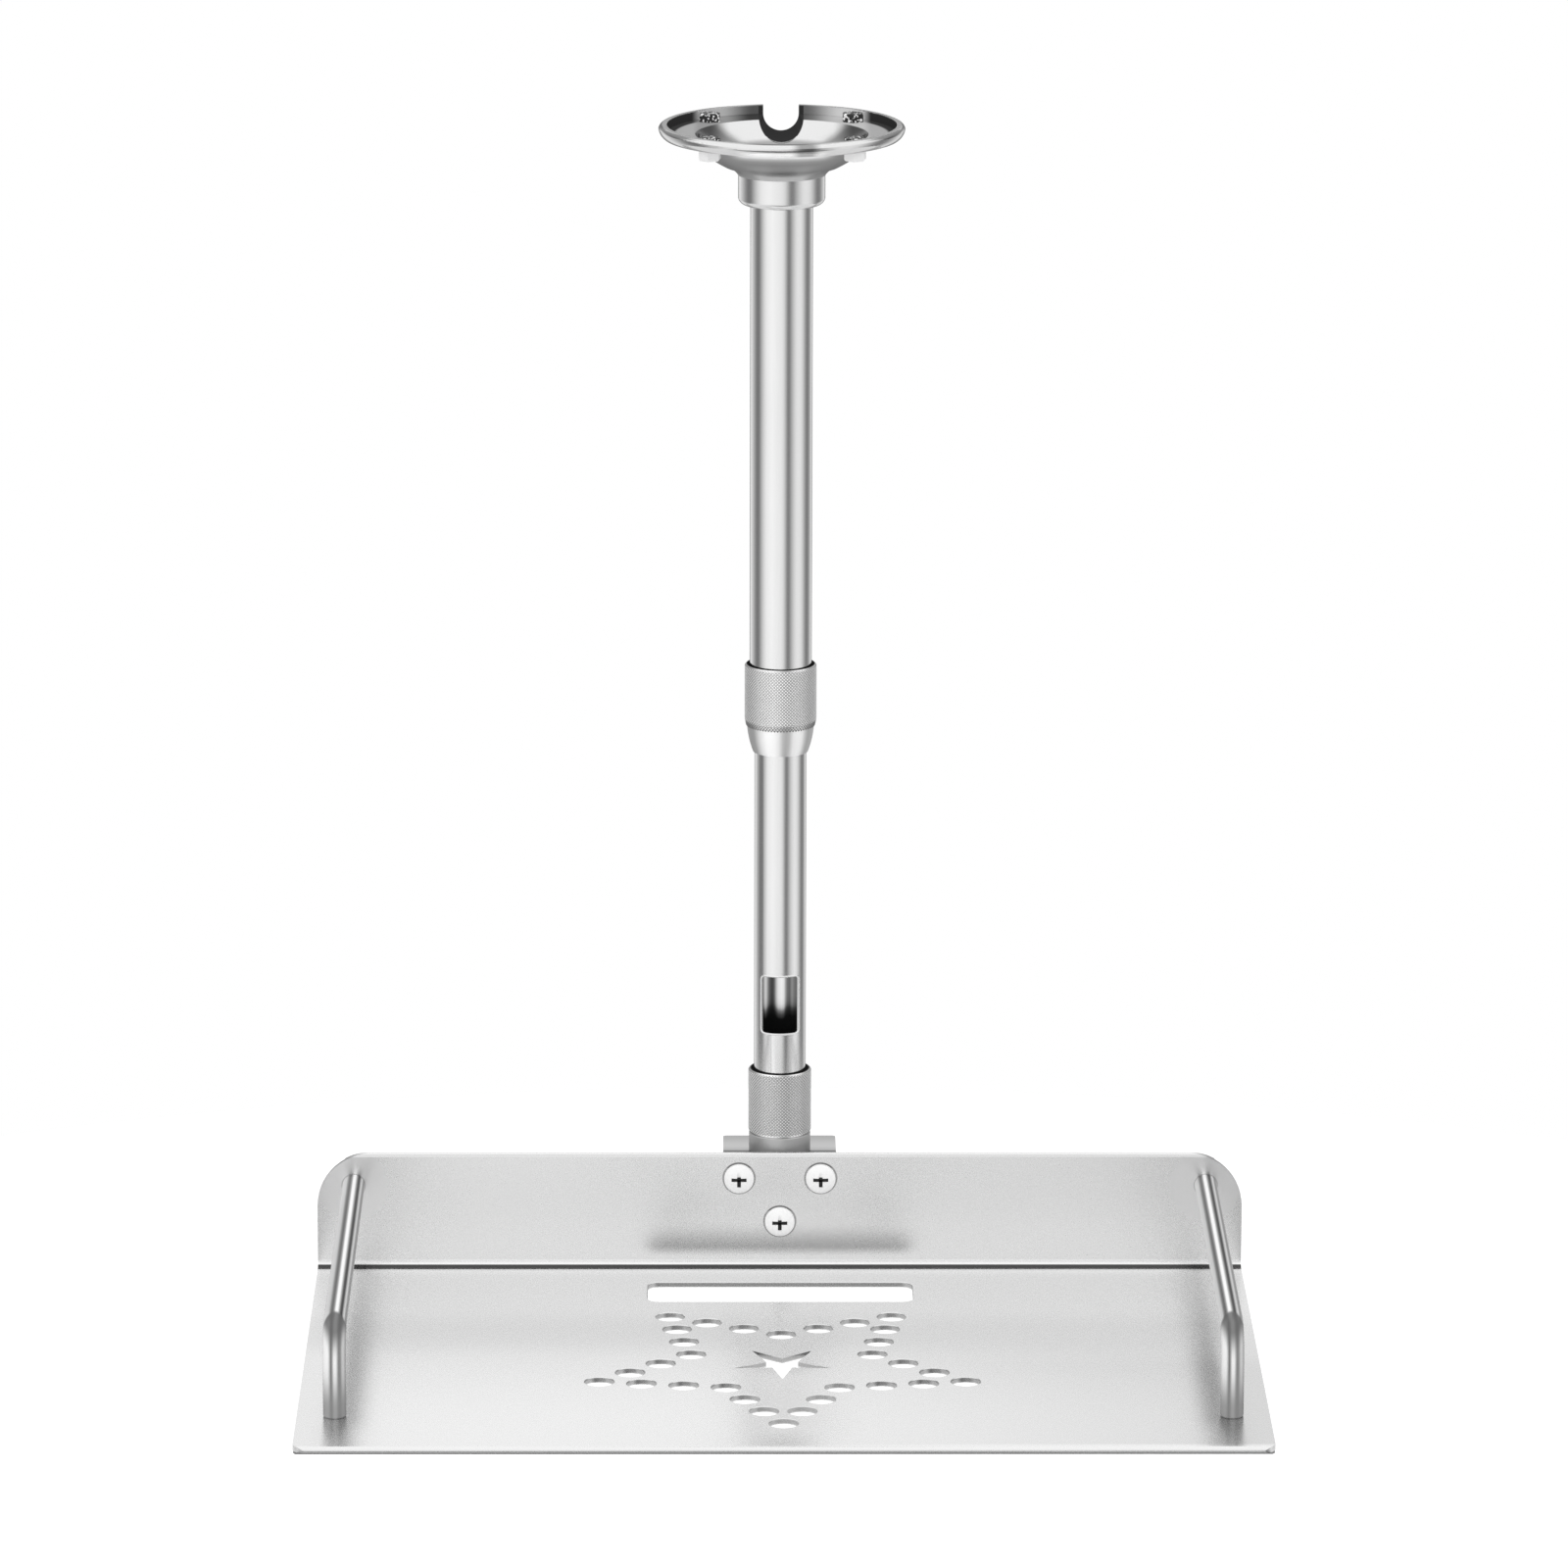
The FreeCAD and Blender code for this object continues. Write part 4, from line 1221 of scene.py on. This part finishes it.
@dataclass
class Knurl:
    """Diamond knurl on a collar.

    Attributes:
        node: the CAD node that carries it.
        body: the CAD body of that node.
        radius: radius of the collar.
        top: height of the knurl's upper edge.
        bottom: height of its lower edge.
        draw: how far the collar draws in at the knurl's foot.
        bands: painted reflection tones round the knurl by the angle from the front in degrees.
        draw_height: height of that foot.
        pitch: width of a diamond around the collar.
        depth: height of a diamond.
        sunk: how deep a diamond sits in the collar.
        blunt: width of a diamond's top, as a share of its foot.
        crest: share of a diamond's height at which it is palest, with painted shade below it down to the
            root.
    """

    node: str
    body: str
    radius: float
    top: float
    bottom: float
    draw: float
    bands: Pairs
    draw_height: float = 3.0 * MM
    pitch: float = 1.32 * MM
    depth: float = 0.36 * MM
    sunk: float = 0.04 * MM
    blunt: float = 0.24
    crest: float = 0.7

    def build(self) -> bpy.types.Object:
        """Rows of blunt diamonds around the collar.

        Returns:
            The knurl as one piece.
        """
        around = round(math.tau * self.radius / self.pitch)
        rows = round((self.top - self.bottom) / (self.pitch / 2.0)) - 1
        step = (self.top - self.bottom) / (rows + 1)
        keys = ("radius", "top", "bottom", "draw", "draw_height", "depth", "sunk", "blunt")
        piece = NodePiece(self.node + "_knurl", self, keys, row_step=step, around=around, rows=rows)
        blunt = piece["blunt"]
        diamond = piece.shape("MeshCone", vertices=4, radius_top=blunt, radius_bottom=1.0, depth=1.0)
        diamond = piece.raised(diamond, 0.0, (0.0, math.pi / 2.0, 0.0))
        index = piece.shape("InputIndex")
        row = (index / piece["around"]).floor()
        angle = (index - row * piece["around"] + 0.5 * (row % 2.0)) * math.tau / piece["around"]
        height = piece["top"] - (row + 1.0) * piece["row_step"]
        share = 1.0 - (height - piece["bottom"]) / piece["draw_height"]
        radius = piece["radius"] - piece["sunk"] - piece["draw"] * share.at_least(0.0)
        place = piece.vector(radius * angle.cos(), radius * angle.sin(), height)
        points = piece.shape("Points", count=piece["around"] * piece["rows"], position=place)
        half = math.pi * piece["radius"] / piece["around"]
        scale = piece.vector(piece["depth"], half, piece["row_step"])
        turn = piece.vector(z=angle)
        placed = piece.shape("InstanceOnPoints", points=points, instance=diamond, rotation=turn, scale=scale)
        # Painted shade in the knurl's roots and painted reflection bands round it, on a surface that is not
        # metal and glows a little as painted light.
        look = BandFinish(
            "knurled_aluminium", 1.0, 0.38, Grain.BLASTED, pitch=0.6, depth=0.002, mottle=0.02, metallic=0.0,
            gloss=0.3, glow=0.32, name=piece.name, bands=self.bands,
            root=self.radius / MM, crest=(self.radius + self.crest * self.depth) / MM,
        )
        return piece.finish(placed, look, self.body)


@dataclass
class Window:
    """Bright rounded edge of the cable window.

    Attributes:
        tube_radius: radius on which the edge lies.
        width: width of the window.
        height: height of the window.
        sill: height of its lower edge.
        corner: radius of its corners.
        edge: radius of the rounded edge.
    """

    tube_radius: float
    width: float = WINDOW_WIDTH + 1.3 * MM
    height: float = WINDOW_HEIGHT
    sill: float = WINDOW_SILL
    corner: float = 1.5 * MM
    edge: float = 0.42 * MM

    def build(self) -> bpy.types.Object:
        """Rounded edge that follows the window on the tube.

        Returns:
            The edge as one piece.
        """
        keys = ("tube_radius", "width", "height", "sill", "corner", "edge")
        piece = NodePiece("window_edge", self, keys)
        outline = piece.shape("CurvePrimitiveQuadrilateral", width=piece["width"], height=piece["height"])
        rounding = {"Curve": outline, "Count": 5, "Radius": piece["corner"]}
        outline = piece.graph.add("GeometryNodeFilletCurve", {"mode": "POLY"}, rounding)
        outline = piece.shape("ResampleCurve", curve=outline, count=96)
        across, up, _ = piece.graph.split(piece.shape("InputPosition"))
        radius = piece["tube_radius"]
        front = piece.graph.math("SQRT", radius * radius - across * across) * -1.0
        place = piece.vector(across, front, up + (piece["sill"] + piece["height"] / 2.0))
        wrapped = piece.shape("SetPosition", geometry=outline, position=place)
        circle = {"Resolution": 10, "Radius": piece["edge"]}
        section = piece.graph.add("GeometryNodeCurvePrimitiveCircle", {"mode": "RADIUS"}, circle)
        tube = piece.shape("CurveToMesh", curve=wrapped, profile_curve=section)
        return piece.finish(tube, BRIGHT_EDGE, "lower_pole")


@dataclass
class Pole:
    """Knurled collars and cable window of the pole.

    Attributes:
        margin: bare margin above both knurls.
        lock_foot: bare foot of the collar that clamps the tubes.
        lock_draw: how far that collar draws in at its knurl's foot.
        swivel_foot: bare foot of the collar at the pole's foot.
        edge_sunk: how deep the window's edge lies in the tube.
    """

    margin: float = 0.2 * MM
    lock_foot: float = 10.6 * MM
    lock_draw: float = 0.7 * MM
    swivel_foot: float = 0.3 * MM
    edge_sunk: float = 0.15 * MM

    def _knurl(self, node: str, body: str, foot: float, draw: float, bands: Pairs) -> Knurl:
        """Knurl fitted to a packed collar.

        Args:
            node: the collar's CAD node.
            body: the CAD body of that node.
            foot: bare margin below the knurl.
            draw: how far the collar draws in at the knurl's foot.
            bands: painted reflection tones round the knurl.

        Returns:
            The knurl.
        """
        low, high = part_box(node)
        return Knurl(node, body, high.x, high.z - self.margin, low.z + foot, draw, bands)

    def build(self) -> None:
        """Make the knurls and the window's edge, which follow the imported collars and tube."""
        for piece in (
            self._knurl("lock_collar", "lock_ring", self.lock_foot, self.lock_draw, LOCK_REFLECTION_BANDS),
            self._knurl("swivel_collar", "swivel_ring", self.swivel_foot, 0.0, SWIVEL_REFLECTION_BANDS),
            Window(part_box("lower_tube")[1].x - self.edge_sunk),
        ):
            piece.build()


@dataclass
class TrayScrews:
    """Painted shade: dark plates at the bottoms of the cross recesses in the tray's screws, where there is
    only shade.

    Attributes:
        spacing: distance between the upper pair.
        upper: height of the upper pair.
        lower: height of the third screw.
        crown: foremost point of the heads.
        span: length of the recess across the head.
        arm: width of an arm.
        sunk: depth of the dark shade plate below the crown.
        thickness: thickness of the dark shade plate.
    """

    spacing: float
    upper: float
    lower: float
    crown: float
    span: float = 6.0 * MM
    arm: float = 1.5 * MM
    sunk: float = 0.75 * MM
    thickness: float = 1.2 * MM

    @classmethod
    def from_frame(cls) -> "TrayScrews":
        """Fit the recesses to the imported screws.

        Returns:
            The recesses.
        """
        low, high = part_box("right_tray_screw")
        foot_low, foot_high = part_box("lower_tray_screw")
        return cls(low.x + high.x, (low.z + high.z) / 2.0, (foot_low.z + foot_high.z) / 2.0, low.y)

    def build(self) -> bpy.types.Object:
        """Three dark arms of painted shade at the bottom of each recess.

        Returns:
            The bottoms as one piece.
        """
        keys = ("spacing", "upper", "lower", "crown", "span", "arm", "sunk", "thickness")
        piece = NodePiece("screw_recess_shade", self, keys)
        half = piece["span"] / 2.0
        arm, thickness = piece["arm"], piece["thickness"]
        level = piece.shape("MeshCube", size=piece.vector(piece["span"], thickness, arm))
        upright = piece.shape("MeshCube", size=piece.vector(arm, thickness, half))
        cross = piece.joined([level, piece.raised(upright, half * -0.5)])
        index = piece.shape("InputIndex")
        third = (index / 2.0).floor()
        across = (index * 2.0 - 1.0) * (1.0 - third) * piece["spacing"] / 2.0
        height = piece["upper"] - third * (piece["upper"] - piece["lower"])
        middle = piece["crown"] + piece["sunk"] + thickness / 2.0
        points = piece.shape("Points", count=3, position=piece.vector(across, middle, height))
        placed = piece.shape("InstanceOnPoints", points=points, instance=cross)
        return piece.finish(placed, RECESS_SHADE, "tray_unit")


@dataclass
class Studio:
    """White studio: a pale floor, soft surroundings with dark strips, and the camera.

    Attributes:
        aim: point that the camera looks at.
        distance: from the camera to that point.
        yaw: turn of the view about the vertical, in radians.
        pitch: downward tilt of the view.
        roll: turn of the picture.
        lens: focal length in millimetres.
        sensor: width of the sensor in millimetres.
        floor_height: height of the floor.
        floor_radius: reach of the floor.
        floor_steps: number of corners of the floor.
        floor_tones: grey levels of the floor before, under and behind the mount.
        floor_glow: light that the floor adds where the camera sees it.
        behind_dim: dimming of the surroundings low behind the mount.
        flank_dim: dimming of the surroundings to both sides behind it.
        panels: brightness of the surroundings by the turn from the camera in degrees, to the right.
    """

    aim: Vector = Vector((1.46 * MM, 0.0, -269.76 * MM))
    distance: float = 3584.13 * MM
    yaw: float = 0.0087
    pitch: float = 0.2451
    roll: float = 0.0024
    lens: float = 203.66
    sensor: float = 36.0
    floor_height: float = -0.65
    floor_radius: float = 0.88
    floor_steps: int = 96
    floor_tones: tuple[float, float, float] = (0.16, 0.90, 0.40)
    floor_glow: float = 0.40
    behind_dim: float = 0.8
    flank_dim: float = 0.7
    panels: Pairs = (
        (-180.0, 1.0), (-160.0, 0.95), (-145.0, 0.82), (-127.0, 0.56), (-113.0, 0.32), (-101.0, 0.18),
        (-90.0, 0.20), (-81.0, 0.40), (-72.0, 0.62), (-64.0, 0.78), (-56.0, 0.90), (-45.0, 0.96),
        (-33.0, 1.0), (-19.0, 0.94), (0.0, 0.88), (9.0, 0.75), (16.5, 0.46), (23.5, 0.21),
        (30.5, 0.22), (38.0, 0.42), (45.5, 0.60), (53.0, 0.75), (61.0, 0.84), (70.0, 0.85),
        (79.0, 0.79), (88.0, 0.62), (98.0, 0.36), (109.0, 0.19), (122.0, 0.26), (139.0, 0.60),
        (160.0, 0.95), (180.0, 1.0),
    )

    def camera(self) -> bpy.types.Object:
        """Camera at the photograph's place.

        Returns:
            The camera.
        """
        level = math.cos(self.pitch)
        forward = Vector((math.sin(self.yaw) * level, math.cos(self.yaw) * level, -math.sin(self.pitch)))
        right = forward.cross(Vector((0, 0, 1))).normalized()
        up = right.cross(forward)
        side = right * math.cos(self.roll) + up * math.sin(self.roll)
        top = up * math.cos(self.roll) - right * math.sin(self.roll)
        data = bpy.data.cameras.new("camera")
        data.lens = self.lens
        data.sensor_width = self.sensor
        data.clip_end = 50.0
        camera = bpy.data.objects.new("camera", data)
        bpy.context.scene.collection.objects.link(camera)
        turn = Matrix((side, top, -forward)).transposed().to_4x4()
        camera.matrix_world = Matrix.Translation(self.aim - forward * self.distance) @ turn
        bpy.context.scene.camera = camera
        return camera

    def world(self) -> bpy.types.World:
        """White behind the object, and soft bright surroundings with dark strips for its reflections.

        Returns:
            The world.
        """
        world = bpy.data.worlds.new("studio")
        world.use_nodes = True
        graph = Graph(world.node_tree)
        x, y, z = graph.split(graph.add("ShaderNodeTexCoord", output="Generated"))
        turn = x.degrees(y * -1.0)
        aside = turn.abs()
        height = graph.math("ARCSINE", z) * TO_DEGREES
        behind = aside.smooth(148.0, 168.0) * (1.0 - height.smooth(9.0, 14.5))
        flank = aside.band(105.0, 172.0, 16.0) * height.band(2.0, 48.0, 10.0)
        level = height.smooth(12.0, 34.0).blend(turn.ramp(self.panels), 1.0)
        level = level * (1.0 - self.behind_dim * behind) * (1.0 - self.flank_dim * flank)
        around = graph.add("ShaderNodeBackground", None, {"Color": level, "Strength": 1.0})
        white = graph.add("ShaderNodeBackground", None, {"Color": grey(1.0), "Strength": 1.0})
        path = graph.add("ShaderNodeLightPath", output="Is Camera Ray")
        mixed = graph.add("ShaderNodeMixShader", None, {0: path, 1: around, 2: white})
        graph.add("ShaderNodeOutputWorld", None, {"Surface": mixed})
        bpy.context.scene.world = world
        return world

    def floor(self) -> bpy.types.Object:
        """Pale floor below the tray, clear from below.

        Returns:
            The floor.
        """
        mesh = bpy.data.meshes.new("floor")
        turns = [math.tau * index / self.floor_steps for index in range(self.floor_steps)]
        ring = [
            (self.floor_radius * math.cos(turn), self.floor_radius * math.sin(turn), self.floor_height)
            for turn in turns
        ]
        mesh.from_pydata(ring, [], [list(range(self.floor_steps))])
        floor = bpy.data.objects.new("floor", mesh)
        bpy.context.scene.collection.objects.link(floor)
        made = bpy.data.materials.new("pale_floor")
        made.use_nodes = True
        graph = Graph(made.node_tree)
        ahead = graph.split(graph.add("ShaderNodeTexCoord", output="Object"))[1]
        before, under, beyond = self.floor_tones
        tone = ahead.smooth(-0.52, -0.44).between(before, under)
        tone = ahead.smooth(0.42, 0.56).between(tone, beyond)
        paint = graph.add("ShaderNodeBsdfDiffuse", None, {"Color": tone})
        matte = graph.add("ShaderNodeBsdfDiffuse", None, {"Color": grey(under)})
        sheen = graph.add("ShaderNodeEmission", None, {"Color": grey(1.0), "Strength": self.floor_glow})
        white = graph.add("ShaderNodeAddShader", None, {0: matte, 1: sheen})
        path = graph.add("ShaderNodeLightPath", output="Is Camera Ray")
        seen = graph.add("ShaderNodeMixShader", None, {0: path, 1: paint, 2: white})
        below = graph.add("ShaderNodeNewGeometry", output="Backfacing")
        clear = graph.add("ShaderNodeBsdfTransparent")
        mixed = graph.add("ShaderNodeMixShader", None, {0: below, 1: seen, 2: clear})
        graph.add("ShaderNodeOutputMaterial", None, {"Surface": mixed})
        mesh.materials.append(made)
        return floor

    def build(self) -> None:
        """Set up the picture, in plain colours."""
        bpy.context.scene.view_settings.view_transform = "Standard"
        for step in (self.camera, self.world, self.floor):
            LOG.info("studio: %s", step().name)


def dress_nodes() -> None:
    """Give every CAD node the finish of its material slot."""
    by_slot = {finish.slot: finish for finish in FINISHES}
    for row in frame["record"]["subparts"]:
        node = frame["nodes"][row["node"]]
        by_slot[row["material_slot"]].dress(node)
        LOG.info("%s: %s", row["node"], row["material_slot"])


def main() -> None:
    """Dress the mount and set up its studio."""
    logging.basicConfig(level=logging.INFO, format="%(message)s")
    dress_nodes()
    for unit in (CeilingCup(), Pole(), TrayScrews.from_frame(), Studio()):
        unit.build()


if __name__ == "__main__":
    main()
